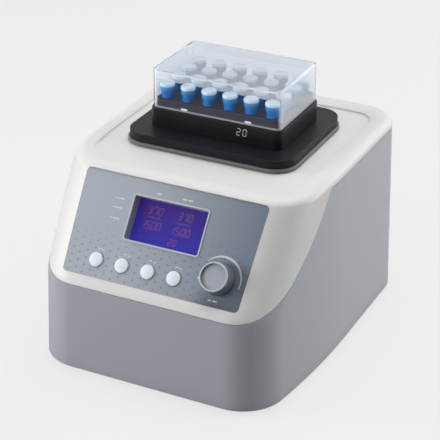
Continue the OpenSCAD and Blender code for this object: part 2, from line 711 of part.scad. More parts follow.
// Half outline of a round-ended tube of radius r, from its low end z up to a height
module bullet(r, z, top) {
    intersection() {
        translate([0, z + r]) circle(r);
        translate([0, z]) square([r, r]);
    }
    translate([0, z + r - 0.01]) square([r, top - z - r + 0.01]);
}
module tubes() color([0.8, 0.88, 0.95]) at_tubes() rotate_extrude() difference() {
    top = tube_top - cap_t;
    union() {
        bullet(tube_d / 2, tube_low, top);
        translate([0, top - 5]) square([collar_d / 2 - 0.2, 5]);
    }
    bullet(tube_d / 2 - tube_t, tube_low + tube_t, top + cut);
}
module tube_caps() color([0.93, 0.95, 0.96]) at_tubes() {
    low = tube_top - cap_t;
    plug_d = tube_d - 2 * tube_t - 2 * seat;
    drill(collar_d, low, cap_t - 0.5);
    drill(collar_d - 1, tube_top - 0.5, 0.5);
    translate([0, 0, low - 3.4]) tube(plug_d, plug_d - 2, 3.4 + sink);
    translate([-2, collar_d / 2 - 0.2, low - 3]) cube([4, 0.8, 3 + cap_t - 0.6]);
    translate([-2, -collar_d / 2 - tab, low + 0.2]) cube([4, tab + 0.8, 1.1]);
}
module tube_samples() color([0.1, 0.35, 0.67]) at_tubes() rotate_extrude()
    bullet(tube_d / 2 - tube_t, tube_low + tube_t, tube_top - cap_t - 4.4);
module clear_lid() color([0.9, 0.93, 0.96, 0.4]) at_platform() translate([0, 0, ledge_z]) difference() {
    w = block_w - 2 * lid_inset;
    d = block_d - 2 * lid_inset;
    union() {
        box(w, d, lid_h - 1, block_r - 1);
        translate([0, 0, lid_h - 1]) box(w - 1.2, d - 1.2, 1, block_r - 1.6);
    }
    translate([0, 0, -cut]) box(w - 2 * lid_t, d - 2 * lid_t, lid_h - lid_t + cut, block_r - 3);
}

// Control panel
module panel_overlay() color([0.52, 0.56, 0.6]) on_panel(0, 0, -overlay_t) linear_extrude(overlay_t)
    difference() {
        panel_plan();
        at_screen() plan(screen_w, screen_h, 1.5);
        at_buttons() circle(d = button_d + 2 * button_gap);
        translate([knob_u, knob_v]) circle(d = nut_bore);
    }
module display_trim() color([0.75, 0.77, 0.8]) on_panel() at_screen() difference() {
    box(screen_w + 3, screen_h + 3, 0.6, 2.6);
    translate([0, 0, -cut]) box(screen_w + 0.4, screen_h + 0.4, 3, 1.5);
}
// The bezel's flange lies against the inner face of the cover
module display_bezel() color([0.3, 0.31, 0.34]) on_panel(0, 0, -screen_d) at_screen() difference() {
    union() {
        box(screen_w + 2 * lip, screen_h + 2 * lip, screen_d - overlay_t, 2);
        translate([0, 0, screen_d + cover_in - flange_t])
            box(screen_w + 4 * lip, screen_h + 4 * lip, flange_t, 2);
    }
    translate([0, 0, -cut]) box(screen_w, screen_h, screen_d + 2 * cut, 1.5);
}
module display_window() color([0.7, 0.75, 0.85, 0.4]) on_panel(0, 0, -screen_d - window_t) at_screen()
    box(screen_w + 2 * lip, screen_h + 2 * lip, window_t, 1);
module display_glass() color([0.28, 0.22, 0.65]) on_panel(0, 0, glass_h) at_screen()
    box(screen_w + lip, screen_h + lip, glass_t);
module display_frame() color([0.2, 0.2, 0.22]) on_panel(0, 0, frame_h) at_screen() difference() {
    box(screen_w + 2.5 * lip, screen_h + 2.5 * lip, frame_t);
    translate([0, 0, frame_t - glass_t]) box(screen_w + lip, screen_h + lip, glass_t + cut);
}
module display_board() color([0.1, 0.4, 0.2]) on_panel(0, 0, frame_h - board_t) difference() {
    at_screen() box(screen_w + 18, screen_h + 20, board_t, 1);
    at_screen_posts() drill(2.5, -cut, board_t + 2 * cut);
}
// Push buttons: a domed cap over a flange that the cover's wall holds in
module button(i) color([0.88, 0.89, 0.92]) on_panel(button_u + i * button_pitch, button_v) {
    dome_r = 36;
    drill(button_d + 2.4, flange_h, flange_t);
    drill(button_d, flange_h, button_h - 0.6 - flange_h);
    intersection() {
        drill(button_d, button_h - 0.61, 0.7);
        translate([0, 0, button_h - dome_r]) sphere(r = dome_r, $fn = 96);
    }
    drill(4, flange_h - stem, stem + sink);
}
module button_1() button(0);
module button_2() button(1);
module button_3() button(2);
module button_4() button(3);
module key_board() color([0.1, 0.4, 0.2]) on_panel(0, 0, key_z - board_t) difference() {
    translate([button_u + 1.5 * button_pitch, button_v]) box(4 * button_pitch, 22, board_t, 1);
    at_key_posts() drill(2.5, -cut, board_t + 2 * cut);
}
module key_switches() color([0.15, 0.15, 0.16]) on_panel(0, 0, key_z) at_buttons() box(6.2, 6.2, switch_t);
// Rotary encoder with its press plunger; the knob turns on the spindle
module encoder_body() color([0.35, 0.36, 0.38]) on_panel(knob_u, knob_v) difference() {
    union() {
        translate([0, 0, cover_in - encoder_t]) box(14, 14, encoder_t);
        drill(nut_bore - 0.4, cover_in - sink, nut_t + 0.2 - cover_in + sink);
    }
    drill(spindle_d + 2 * seat, cover_in - spindle_in, 20);
}
module encoder_nut() color([0.78, 0.79, 0.8]) on_panel(knob_u, knob_v) difference() {
    cylinder(d = nut_d, h = nut_t, $fn = 6);
    drill(nut_bore - 0.4 + 2 * seat, -cut, nut_t + 2 * cut);
}
module encoder_plunger() color([0.2, 0.2, 0.22]) on_panel(knob_u, knob_v)
    drill(spindle_d - 0.6, cover_in - spindle_in + knob_travel, 1);
module knob() color([0.6, 0.61, 0.64]) on_panel(knob_u, knob_v) {
    foot = knob_travel + 0.4;
    high = knob_h - foot;
    r = knob_top / 2;
    dish = 2.2;
    difference() {
        translate([0, 0, foot]) rotate_extrude($fn = 96) polygon([[0, 0], [knob_d / 2 - 0.8, 0],
            [knob_d / 2, 0.8], [r, high - 0.6], [r - 0.5, high], [r - 1.3, high], [r - 1.5, high - dish],
            [0, high - dish]]);
        drill(nut_d + 3, foot - cut, cut + 4);
    }
    low = cover_in - spindle_in + knob_travel + 1;
    drill(spindle_d, low, knob_h - dish - 1 - low);
}

// Electronics on the base
module at_control() { translate([0, control_y, base_top + rise]) children(); }
module at_power() { translate([power_x, power_y, base_top + rise]) children(); }
module board_posts() {
    at_control() corners(control_w / 2 - 5, control_d / 2 - 5) children();
    at_power() corners(power_w / 2 - 3, power_d / 2 - 4) children();
}
module control_board() color([0.1, 0.4, 0.2]) difference() {
    at_control() box(control_w, control_d, board_t, 1);
    board_posts() drill(3.2, -cut, board_t + 2 * cut);
}
module power_board() color([0.45, 0.36, 0.15]) difference() {
    at_power() box(power_w, power_d, board_t, 1);
    board_posts() drill(3.2, -cut, board_t + 2 * cut);
}
module board_standoffs() color([0.8, 0.8, 0.82]) board_posts() {
    drill(6, -rise, rise);
    drill(3, -cut, board_t + cut + 0.6);
}
module power_parts() at_power() translate([0, 0, board_t]) {
    color([0.75, 0.65, 0.2]) translate([0, coil_y]) box(coil_w, coil_d, coil_h, 1);
    color([0.12, 0.12, 0.14]) for (k = [-1, 0.75])
        translate([k * can_x, can_y]) cylinder(d = abs(k) * can_d, h = abs(k) * can_h);
    color([0.6, 0.6, 0.63]) translate([0, sink_y]) {
        box(sink_w, sink_t, sink_h);
        for (i = [-4:4]) translate([i * fin_pitch, (sink_t + fin_d) / 2 - sink]) box(fin_t, fin_d, sink_h);
    }
}
// Mains inlet with a fuse drawer, its contacts and the power switch on the back
module mains_inlet() color([0.1, 0.1, 0.11]) on_back(inlet_x, inlet_z) difference() {
    union() {
        translate([0, 0, -face_t]) box(inlet_w + 2 * face_out, inlet_h + 2 * face_out, face_t, face_out);
        translate([0, 0, -0.01]) box(inlet_w - 0.6, inlet_h - 0.6, socket_d, 1.6);
    }
    translate([0, plug_v, -face_t - cut]) box(plug_w, plug_h, plug_in + face_t + cut, 2);
    translate([0, fuse_v, -face_t - cut]) box(fuse_w, fuse_h, fuse_in + cut, 1);
}
module inlet_pins() color([0.82, 0.8, 0.72]) on_back(inlet_x, inlet_z) {
    for (x = [-7, 7]) translate([x, plug_v - 2.5, plug_in - pin_l]) box(pin_t, pin_w, pin_l);
    translate([0, plug_v + 4.5, plug_in - pin_l - 2]) box(pin_w, pin_t, pin_l + 2);
}
module fuse_drawer() color([0.14, 0.14, 0.15]) on_back(inlet_x, inlet_z, face_t)
    translate([0, fuse_v, -2 * face_t]) difference() {
        box(fuse_w - 2 * touch, fuse_h - 2 * touch, fuse_in - 0.2, 0.9);
        translate([0, 0, -cut]) box(fuse_w / 3, fuse_h / 3, cut + 1);
    }
module switch_body() color([0.1, 0.1, 0.11]) on_back(inlet_x, switch_z) difference() {
    union() {
        translate([0, 0, -face_t]) box(switch_h + 3, switch_w + 3, face_t, 1.5);
        translate([0, 0, -0.01]) box(switch_h - 0.4, switch_w - 0.4, socket_d);
    }
    translate([0, 0, -face_t - cut])
        box(rocker_l + 4 * rocker_gap, rocker_w + 2 * rocker_gap, socket_d / 2 + cut);
    translate([0, 0, rocker_z]) rotate([90, 0, 0])
        cylinder(d = pivot_d + 2 * seat, h = rocker_w + 4 + 2 * touch, center = true);
}
// The rocker has a round back, a dished face and a pivot pin whose ends run in the body's walls
module switch_rocker() color([0.14, 0.14, 0.15]) on_back(inlet_x, switch_z, rocker_z)
    rotate([0, rocker_tilt, 0]) {
        difference() {
            intersection() {
                translate([0, 0, rocker_r - rocker_out - 1]) rotate([90, 0, 0])
                    cylinder(r = rocker_r, h = rocker_w, center = true, $fn = 96);
                translate([0, 0, -3 * rocker_z]) box(rocker_l, rocker_w, 4 * rocker_z);
            }
            translate([0, 0, -rocker_r - rocker_out]) rotate([90, 0, 0])
                cylinder(r = rocker_r, h = rocker_w + 2 * cut, center = true, $fn = 96);
        }
        rotate([90, 0, 0]) cylinder(d = pivot_d, h = rocker_w + 4, center = true);
    }
// Cooling fan behind the slots
module fan_frame() color([0.12, 0.12, 0.13]) on_back(fan_x, fan_z, wall) difference() {
    box(fan_w, fan_w, fan_t, 3);
    drill(fan_w - 2 * fan_rim, -cut, fan_t - fan_bar + cut);
    for (a = [0:90:270]) rotate(a) translate([0, 0, fan_t - fan_bar - cut]) linear_extrude(fan_bar + 2 * cut)
        difference() {
            intersection() {
                circle(d = fan_w - 2 * fan_rim);
                translate([fan_bar / 2, fan_bar / 2]) square(fan_w);
            }
            circle(d = fan_hub);
        }
    corners(fan_w / 2 - 5, fan_w / 2 - 5) drill(4, -cut, fan_t + 2 * cut);
    drill(fan_pin + 2 * seat, fan_t - fan_bar - cut, cut + 2);
}
module fan_rotor() color([0.16, 0.16, 0.17]) on_back(fan_x, fan_z, wall + fan_bar / 2) {
    cylinder(d = fan_hub, h = fan_t - 2 * fan_bar + 0.5);
    cylinder(d = fan_pin, h = fan_t - fan_bar);
    for (i = [0:blade_n - 1]) rotate(i * 360 / blade_n)
        translate([fan_hub / 2 - fan_bar / 2, 0, fan_t / 2 - fan_bar]) rotate([34, 0, 0])
            translate([0, -blade_t / 2, -blade_w / 2])
                cube([fan_w / 2 - fan_rim - fan_hub / 2 - 0.5, blade_t, blade_w]);
}

lower_housing();
top_cover();
base_plate();
rubber_feet();
machine_screws();
drive_pillars();
drive_deck();
motor_body();
deck_bearings();
panel_overlay();
display_trim();
display_bezel();
display_window();
display_glass();
display_frame();
display_board();
key_board();
key_switches();
encoder_body();
encoder_nut();
encoder_plunger();
control_board();
board_standoffs();
power_board();
power_parts();
mains_inlet();
inlet_pins();
fuse_drawer();
switch_body();
switch_rocker();
fan_frame();
fan_rotor();
drive_shaft();
eccentric_hub();
counterweight();
idler_1();
idler_2();
idler_3();
idler_4();
platform_carrier();
eccentric_bearing();
idler_bushes();
insulation_pad();
heater_plate();
temperature_sensor();
platform_posts();
platform_skirt();
platform_plate();
heat_block();
block_step();
block_clips();
tubes();
tube_caps();
tube_samples();
clear_lid();
button_1();
button_2();
button_3();
button_4();
knob();
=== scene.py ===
from math import asin, cos, pi, radians, sin, sqrt, tan

import bmesh
import bpy
from mathutils import Matrix, Vector


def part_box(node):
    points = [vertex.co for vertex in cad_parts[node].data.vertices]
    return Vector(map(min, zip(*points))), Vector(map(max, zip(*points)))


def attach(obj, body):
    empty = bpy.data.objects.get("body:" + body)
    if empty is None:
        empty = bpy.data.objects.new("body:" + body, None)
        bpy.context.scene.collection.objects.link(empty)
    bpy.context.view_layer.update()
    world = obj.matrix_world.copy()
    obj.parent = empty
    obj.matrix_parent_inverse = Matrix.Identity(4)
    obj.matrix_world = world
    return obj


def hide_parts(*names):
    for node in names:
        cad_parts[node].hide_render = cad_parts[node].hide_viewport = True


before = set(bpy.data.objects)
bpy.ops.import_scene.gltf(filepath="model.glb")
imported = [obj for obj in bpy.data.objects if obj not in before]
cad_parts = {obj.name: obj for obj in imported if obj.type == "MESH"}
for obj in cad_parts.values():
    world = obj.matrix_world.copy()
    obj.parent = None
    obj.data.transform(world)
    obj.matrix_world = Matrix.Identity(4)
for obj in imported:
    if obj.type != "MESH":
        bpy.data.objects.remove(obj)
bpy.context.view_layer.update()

scene = bpy.context.scene
scene.view_settings.view_transform = "Standard"

# Camera. A long lens looks down at the front right corner of the case. The view turns about the
# middle of the platform, and slides a little so that the whole case sits in the picture.
azimuth = radians(26.18)
elevation = radians(27.2)
roll = radians(0.21)
aim = Vector((0, 0.0295, 0.1856))
distance = 1.38909
slide_right = -0.01322
slide_up = -0.0889
back = Vector((sin(azimuth) * cos(elevation), -cos(azimuth) * cos(elevation), sin(elevation)))
level = Vector((cos(azimuth), sin(azimuth), 0))
right = level * cos(roll) + back.cross(level) * sin(roll)
up = back.cross(level) * cos(roll) - level * sin(roll)
camera = bpy.data.objects.new("camera", bpy.data.cameras.new("camera"))
camera.data.sensor_width = 36
camera.data.lens = 126.77
camera.data.clip_end = 30
camera.matrix_world = Matrix.Translation(aim + right * slide_right + up * slide_up + back * distance) @ \
    Matrix((right, up, back)).transposed().to_4x4()
scene.collection.objects.link(camera)
scene.camera = camera


def put(tree, kind, **values):
    """Adds a node, with its properties and the plain values of its inputs by number or name."""
    node = tree.nodes.new(kind)
    for key, value in values.items():
        if key.startswith("in_"):
            node.inputs[int(key[3:])].default_value = value
        elif hasattr(node, key):
            setattr(node, key, value)
        else:
            node.inputs[key.replace("_", " ")].default_value = value
    return node


def blend(tree, factor, first, second):
    """A shader that is the first one, or the second where the factor is 1."""
    node = put(tree, "ShaderNodeMixShader")
    for socket, source in zip(node.inputs, (factor, first, second)):
        tree.links.new(source, socket)
    return node.outputs[0]


def direct_ray(tree):
    """1 for what the camera sees straight or through clear plastic, and 0 for the rest."""
    rays = put(tree, "ShaderNodeLightPath")
    direct = put(tree, "ShaderNodeMath", operation="MAXIMUM")
    tree.links.new(rays.outputs["Is Camera Ray"], direct.inputs[0])
    tree.links.new(rays.outputs["Is Transmission Ray"], direct.inputs[1])
    return direct.outputs[0]


# Studio. Large soft lamps to the left, in front, to the right and above, a weak one behind, and a
# pale floor whose tone also fills the background. Glossy faces mirror a world that is paler behind.
backdrop = (0.871, 0.871, 0.875, 1)


def lamp(name, place, target, size, watts):
    data = bpy.data.lights.new(name, "AREA")
    data.shape = "RECTANGLE"
    data.size, data.size_y = size
    data.energy = watts
    made = bpy.data.objects.new(name, data)
    made.matrix_world = Matrix.Translation(place) @ \
        (Vector(place) - Vector(target)).to_track_quat("Z", "Y").to_matrix().to_4x4()
    scene.collection.objects.link(made)


lamp("key_left", (-1.5, -0.9, 0.6), (0, 0, 0.1), (0.9, 0.8), 18)
lamp("key_front", (-1.05, -1.75, 0.45), (0, 0, 0.1), (1.0, 0.8), 8.5)
lamp("fill_right", (1.6, 0.8, 0.5), (0, 0.05, 0.1), (0.9, 0.8), 13.5)
lamp("fill_back", (0.75, 1.4, 0.5), (0, 0.05, 0.1), (0.8, 0.7), 3)
lamp("top_soft", (0.1, 0.3, 1.9), (0, 0, 0.15), (1.6, 1.6), 26)

world = bpy.data.worlds.new("studio")
scene.world = world
world.use_nodes = True
tree = world.node_tree
ambient = tree.nodes["Background"]
ambient.inputs["Color"].default_value = (0.93, 0.95, 1, 1)
ambient.inputs["Strength"].default_value = 0.09
seen = put(tree, "ShaderNodeBackground", Color=backdrop)
mirrored = put(tree, "ShaderNodeBackground")
ways = put(tree, "ShaderNodeTexCoord")
axes = put(tree, "ShaderNodeSeparateXYZ")
brighter_behind = put(tree, "ShaderNodeMapRange", in_1=-0.7, in_2=0.7, in_3=0.3, in_4=1.05)
rays = put(tree, "ShaderNodeLightPath")
tree.links.new(ways.outputs["Generated"], axes.inputs[0])
tree.links.new(axes.outputs["Y"], brighter_behind.inputs["Value"])
tree.links.new(brighter_behind.outputs[0], mirrored.inputs["Strength"])
with_gloss = blend(tree, rays.outputs["Is Glossy Ray"], ambient.outputs[0], mirrored.outputs[0])
tree.links.new(blend(tree, direct_ray(tree), with_gloss, seen.outputs[0]),
    tree.nodes["World Output"].inputs["Surface"])

# The floor keeps a light shadow: most of its tone glows to the camera and the rest is lit
floor_mesh = bpy.data.meshes.new("floor")
sheet = bmesh.new()
bmesh.ops.create_grid(sheet, x_segments=1, y_segments=1, size=8)
bmesh.ops.translate(sheet, vec=(0, 0, -0.0002), verts=sheet.verts)
sheet.to_mesh(floor_mesh)
floor = bpy.data.objects.new("floor", floor_mesh)
scene.collection.objects.link(floor)
floor_paint = bpy.data.materials.new("floor")
floor_paint.use_nodes = True
tree = floor_paint.node_tree
tree.nodes.clear()
lit = put(tree, "ShaderNodeBsdfDiffuse", Color=(0.4, 0.4, 0.4, 1))
lit_part = put(tree, "ShaderNodeBsdfDiffuse", Color=(0.14, 0.14, 0.14, 1))
glow = put(tree, "ShaderNodeEmission", Color=(0.735, 0.735, 0.74, 1))
shown = put(tree, "ShaderNodeAddShader")
ends = put(tree, "ShaderNodeOutputMaterial")
tree.links.new(glow.outputs[0], shown.inputs[0])
tree.links.new(lit_part.outputs[0], shown.inputs[1])
tree.links.new(blend(tree, direct_ray(tree), lit.outputs[0], shown.outputs[0]), ends.inputs["Surface"])
floor_mesh.materials.append(floor_paint)


# Lower housing. A grey moulding with a fine grain: walls that lean in slightly, round corners, and
# a top edge that sweeps down to the front, where the white cover meets it in a bevelled joint.
mm = 0.001
body_w = 246
body_d = 291
base_z = 4
tray_z = 174.2
draft = 0.03
wall = 3.2
corner_r = 40
rear_r = 34
side_r = 790
front_y = -body_d / 2
back_y = body_d / 2
bow_y = 9.5
seam = 0.5

slope = radians(53.8)
panel_y = front_y + 9.1
panel_z = 95
cover_inset = 1.2               # the cover stands this far above the face of the panel's film
crease_soft = 0.7               # how gently the front turns into the panel's slope
crease_z = (front_y - panel_y + cover_inset / sin(slope) - draft * base_z + panel_z / tan(slope)) / \
    (1 / tan(slope) - draft)

seam_r = 247
seam_low = crease_z - 2
seam_high = tray_z - 7.2
seam_y = front_y - 74.1
seam_z = seam_low + 0.948 * seam_r
knee_y = seam_y + 0.78 * seam_r

CORNER, SIDE, REAR = 40, 56, 20
HALF = CORNER + SIDE + REAR + 2


def case_w(z):
    """Half the case's width at a height, with its lean."""
    return body_w / 2 - draft * (z - base_z)


def case_front(z):
    """The front at a height: the upright wall that turns softly into the panel's slope."""
    upright = front_y + draft * (z - base_z)
    sloping = panel_y - cover_inset / sin(slope) + (z - panel_z) / tan(slope)
    return (upright + sloping + sqrt((upright - sloping) ** 2 + 4 * crease_soft ** 2)) / 2


def bowed(k, w, front, rear, r, rr, d):
    """Point k of the right half of an outline with bowed sides, moved inwards by d."""
    cy = front + r
    bow = asin((bow_y - cy) / (side_r - r))
    cx = w - side_r + (side_r - r) * cos(bow)
    if k <= CORNER:
        a = -pi / 2 + (pi / 2 - bow) * k / CORNER
        return cx + (r - d) * cos(a), cy + (r - d) * sin(a)
    if k <= CORNER + SIDE:
        a = -bow * (1 - (k - CORNER) / SIDE)
        return w - side_r + (side_r - d) * cos(a), bow_y + (side_r - d) * sin(a)
    a = pi / 2 * (k - CORNER - SIDE - 1) / REAR
    return w - rr + (rr - d) * cos(a), rear - rr + (rr - d) * sin(a)


def case_at(k, z, d):
    """Point k of the case's outline at a height, moved inwards by d."""
    return bowed(k, case_w(z), case_front(z), back_y, corner_r, rear_r, d)


def seam_at(y):
    """Height of the joint line at y: low in front, a hollow sweep up, and level to the back."""
    if y > knee_y:
        return seam_high
    return min(seam_high, max(seam_low, seam_z - sqrt(seam_r ** 2 - (y - seam_y) ** 2)))


def meeting(k):
    """Height at which the wall at point k meets the joint line."""
    low, high = seam_low - 4, seam_high + 0.01
    for _ in range(24):
        middle = (low + high) / 2
        if middle < seam_at(case_at(k, middle, 0)[1]):
            low = middle
        else:
            high = middle
    return (low + high) / 2


joint_line = [meeting(k) for k in range(HALF)]


def row(heights, d):
    """A row round the case: one height for all of it, or one for each point, moved in by d."""
    if not isinstance(heights, list):
        heights = [heights] * HALF
    return [(*case_at(k, z, d), z) for k, z in enumerate(heights)]


def wrap(rows):
    """Wraps a flat grid round the case, one line of it on each row, and closes it."""
    bm = bmesh.new()
    across, along = 2 * HALF, len(rows)
    bmesh.ops.create_grid(bm, x_segments=across, y_segments=along, size=0.5)
    for vert in bm.verts:
        k = round((vert.co.x + 0.5) * across) % across
        points = rows[round((vert.co.y + 0.5) * along) % along]
        x, y, z = points[k] if k < HALF else points[across - 1 - k]
        vert.co = (x if k < HALF else -x, y, z)
    bmesh.ops.remove_doubles(bm, verts=bm.verts, dist=0.0005)
    bmesh.ops.recalc_face_normals(bm, faces=bm.faces)
    return bm


def baked(made):
    """Puts the result of a piece's modifiers in its mesh."""
    result = bpy.data.meshes.new_from_object(made.evaluated_get(bpy.context.evaluated_depsgraph_get()))
    made.modifiers.clear()
    old = made.data
    made.data = result
    bpy.data.meshes.remove(old)
    result.name = made.name


def smoothed(made, even):
    """Smooth shading up to the sharp edges, in which a large flat face can keep its own direction."""
    made.data.shade_smooth()
    made.data.set_sharp_from_angle(angle=radians(32))
    if even:
        made.modifiers.new("even", "WEIGHTED_NORMAL").keep_sharp = True
        baked(made)


def piece(bm, name, body, *replaced, slot=None, paint=None, turn=None, even=True):
    """Makes a bmesh in millimetres a finished piece that rides on a body and stands for nodes."""
    if turn:
        bmesh.ops.transform(bm, matrix=turn, verts=bm.verts)
    bmesh.ops.scale(bm, vec=(mm, mm, mm), verts=bm.verts)
    mesh = bpy.data.meshes.new(name)
    bm.to_mesh(mesh)
    bm.free()
    made = bpy.data.objects.new(name, mesh)
    scene.collection.objects.link(made)
    smoothed(made, even)
    mesh = made.data
    for coat in paint if isinstance(paint, list) else [paint]:
        if coat:
            mesh.materials.append(coat)
    if body:
        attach(made, body)
    if replaced:
        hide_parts(*replaced)
    return made


def carve(made, *cutters, even=True):
    """Cuts the cutters' shapes out of a piece, and removes the cutters."""
    for cutter in cutters:
        cut = made.modifiers.new("cut", "BOOLEAN")
        cut.object = cutter
        cut.solver = "EXACT"
    baked(made)
    for cutter in cutters:
        bpy.data.objects.remove(cutter)
    smoothed(made, even)


def slab(low, high, r=0, rim=0, foot=0, steps=10):
    """A block between two corners, with round upright corners and small rounds at rim and foot."""
    bm = bmesh.new()
    low, high = Vector(low), Vector(high)
    bmesh.ops.create_cube(bm, size=1, matrix=Matrix.Translation((low + high) / 2) @
        Matrix.Diagonal((*(high - low), 1)))
    if r:
        upright = [e for e in bm.edges if abs(e.verts[0].co.z - e.verts[1].co.z) > 1e-6]
        bmesh.ops.bevel(bm, geom=upright, offset=r, affect="EDGES", segments=steps, profile=0.5, material=-1)
    for z, offset in ((high.z, rim), (low.z, foot)):
        if offset:
            edges = [e for e in bm.edges if all(abs(v.co.z - z) < 1e-6 for v in e.verts)]
            bmesh.ops.bevel(bm, geom=edges, offset=offset, affect="EDGES", segments=3, profile=0.5,
                material=-1)
    return bm


def joined(*parts):
    """One bmesh out of several."""
    first = parts[0]
    for other in parts[1:]:
        carrier = bpy.data.meshes.new("carrier")
        other.to_mesh(carrier)
        other.free()
        first.from_mesh(carrier)
        bpy.data.meshes.remove(carrier)
    return first


def surface_group(name, cloud=None, stretch=None, detail=2, relief=0.00006):
    """A group that clouds a colour, varies its gloss and gives it a fine, perhaps drawn-out grain."""
    group = bpy.data.node_groups.new(name, "ShaderNodeTree")
    for side, label, kind in (("INPUT", "Colour", "Color"), ("INPUT", "Mottle", "Float"),
                              ("INPUT", "Roughness", "Float"), ("INPUT", "Uneven", "Float"),
                              ("INPUT", "Grain", "Float"), ("INPUT", "Depth", "Float"),
                              ("OUTPUT", "Colour", "Color"), ("OUTPUT", "Roughness", "Float"),
                              ("OUTPUT", "Normal", "Vector")):
        group.interface.new_socket(name=label, in_out=side, socket_type="NodeSocket" + kind)
    given, result = group.nodes.new("NodeGroupInput").outputs, group.nodes.new("NodeGroupOutput").inputs
    link = group.links.new
    place = put(group, "ShaderNodeTexCoord").outputs["Object"]
    if stretch:
        drawn = put(group, "ShaderNodeMapping")
        drawn.inputs["Scale"].default_value = stretch
        link(place, drawn.inputs["Vector"])
        place = drawn.outputs[0]
    speck = put(group, "ShaderNodeTexNoise", Detail=detail)
    link(place, speck.inputs["Vector"])
    link(given["Grain"], speck.inputs["Scale"])
    pattern = speck
    if cloud:
        pattern = put(group, "ShaderNodeTexNoise", Scale=cloud, Detail=3)
        link(place, pattern.inputs["Vector"])
    tone = put(group, "ShaderNodeMath", operation="SUBTRACT", in_1=0.5)
    amount = put(group, "ShaderNodeMath", operation="MULTIPLY_ADD", in_2=1)
    shade = put(group, "ShaderNodeVectorMath", operation="SCALE")
    polish = put(group, "ShaderNodeMath", operation="MULTIPLY_ADD")
    bump = put(group, "ShaderNodeBump", Distance=relief)
    link(pattern.outputs["Fac"], tone.inputs[0])
    link(tone.outputs[0], amount.inputs[0])
    link(given["Mottle"], amount.inputs[1])
    link(given["Colour"], shade.inputs[0])
    link(amount.outputs[0], shade.inputs["Scale"])
    link(shade.outputs[0], result["Colour"])
    link(tone.outputs[0], polish.inputs[0])
    link(given["Uneven"], polish.inputs[1])
    link(given["Roughness"], polish.inputs[2])
    link(polish.outputs[0], result["Roughness"])
    link(speck.outputs["Fac"], bump.inputs["Height"])
    link(given["Depth"], bump.inputs["Strength"])
    link(bump.outputs[0], result["Normal"])
    return group


grain = surface_group("moulded_grain", cloud=24)


def finish(name, colour, roughness=0.5, mottle=0.05, uneven=0.1, size=1800, depth=0.1, group=grain,
           **sockets):
    """A material: the shader, a surface group for what varies, and plain values on its sockets."""
    made = bpy.data.materials.new(name)
    made.use_nodes = True
    tree = made.node_tree
    shader = tree.nodes["Principled BSDF"]
    surface = tree.nodes.new("ShaderNodeGroup")
    surface.node_tree = group
    for label, value in (("Colour", (*colour, 1)), ("Mottle", mottle), ("Roughness", roughness),
                         ("Uneven", uneven), ("Grain", size), ("Depth", depth)):
        surface.inputs[label].default_value = value
    shader.inputs["Base Color"].default_value = (*colour, 1)
    shader.inputs["Roughness"].default_value = roughness
    for label, varies in (("Colour", mottle), ("Roughness", uneven), ("Normal", depth)):
        if varies:
            tree.links.new(surface.outputs[label], shader.inputs[label.replace("Colour", "Base Color")])
    for label, value in sockets.items():
        shader.inputs[label.replace("_", " ")].default_value = value
    return made


grey_shell = finish("grey_shell", (0.41, 0.432, 0.475), 0.42, mottle=0.03, size=1500, depth=0.16,
    Sheen_Weight=1.0, Sheen_Roughness=0.4)
wall_steps = 16
gap, gap_depth, gap_round = 0.35, 1.2, 0.25     # half the joint's gap, its depth and its broken edges
crest = [s - 2 * seam for s in joint_line]
between = [[base_z + 1 + (c - base_z - 1) * t / wall_steps for c in crest] for t in range(wall_steps + 1)]
housing = piece(wrap([row(base_z, 1), row(base_z + 0.3, 0.3)] + [row(zs, 0) for zs in between] + [
    row([s - gap - gap_round for s in joint_line], 0), row([s - gap for s in joint_line], gap_round),
    row([s - gap for s in joint_line], gap_depth), row(joint_line, gap_depth), row(joint_line, wall),
    row(crest, wall), row(between[wall_steps // 2], wall), row(base_z, wall)]), "lower_housing_shell",
    "case", "lower_housing", slot="housing", paint=grey_shell, even=False)

# Slots for the fan's air, and the openings for the inlet and the switch, in the back wall
inlet_x, inlet_z, switch_z = -71, 38, 82
inlet_w, inlet_h, switch_w, switch_h = 27.4, 32, 30, 22
fan_x, fan_z, slot_n, slot_pitch, slot_w, slot_h = 55, 70, 8, 6.9, 3, 46
openings = [slab((inlet_x - w / 2, back_y - 6, z - h / 2), (inlet_x + w / 2, back_y + 2, z + h / 2))
            for w, h, z in ((inlet_w, inlet_h, inlet_z), (switch_w, switch_h, switch_z))]
for i in range(slot_n):
    x = fan_x + (i - (slot_n - 1) / 2) * slot_pitch
    opening = slab((-slot_w / 2, -slot_h / 2, -4), (slot_w / 2, slot_h / 2, 4), r=slot_w / 2 - 0.05, steps=6)
    bmesh.ops.transform(opening, verts=opening.verts,
        matrix=Matrix.Translation((x, back_y - 2, fan_z)) @ Matrix.Rotation(pi / 2, 4, "X"))
    openings.append(opening)
carve(housing, piece(joined(*openings), "back_openings", None, even=False), even=False)


# Top cover. A warm white moulding, smooth and slightly satin: a round top edge, a flat tray inside
# a low rim that fades out towards the front, and the sloping face with the pocket for the panel.
white_shell = finish("white_shell", (0.775, 0.767, 0.750), 0.42, mottle=0.02, size=1500, depth=0.05)
edge_r = 8
rim_h = 1.6
rim_w = 17
rim_rear = 25
pocket = 2
cover_wall = wall + pocket
shoulder_z = seam_high + 3 * seam
tray_t = 3.2
tray_r, tray_rear_r = 26, 20


def rim_at(y):
    """Height of the rim round the tray, which fades out towards the front."""
    t = min(1, max(0, (y + 62) / 30))
    return tray_z + rim_h * t * t * (3 - 2 * t)


def over_edge(angle):
    """A row on the round top edge, from level at 0 to the flat top at 90 degrees."""
    points = []
    for k in range(HALF):
        top = rim_at(case_at(k, tray_z, 0)[1])
        z = shoulder_z + (top - shoulder_z) * sin(angle)
        points.append((*case_at(k, z, edge_r * (1 - cos(angle))), z))
    return points


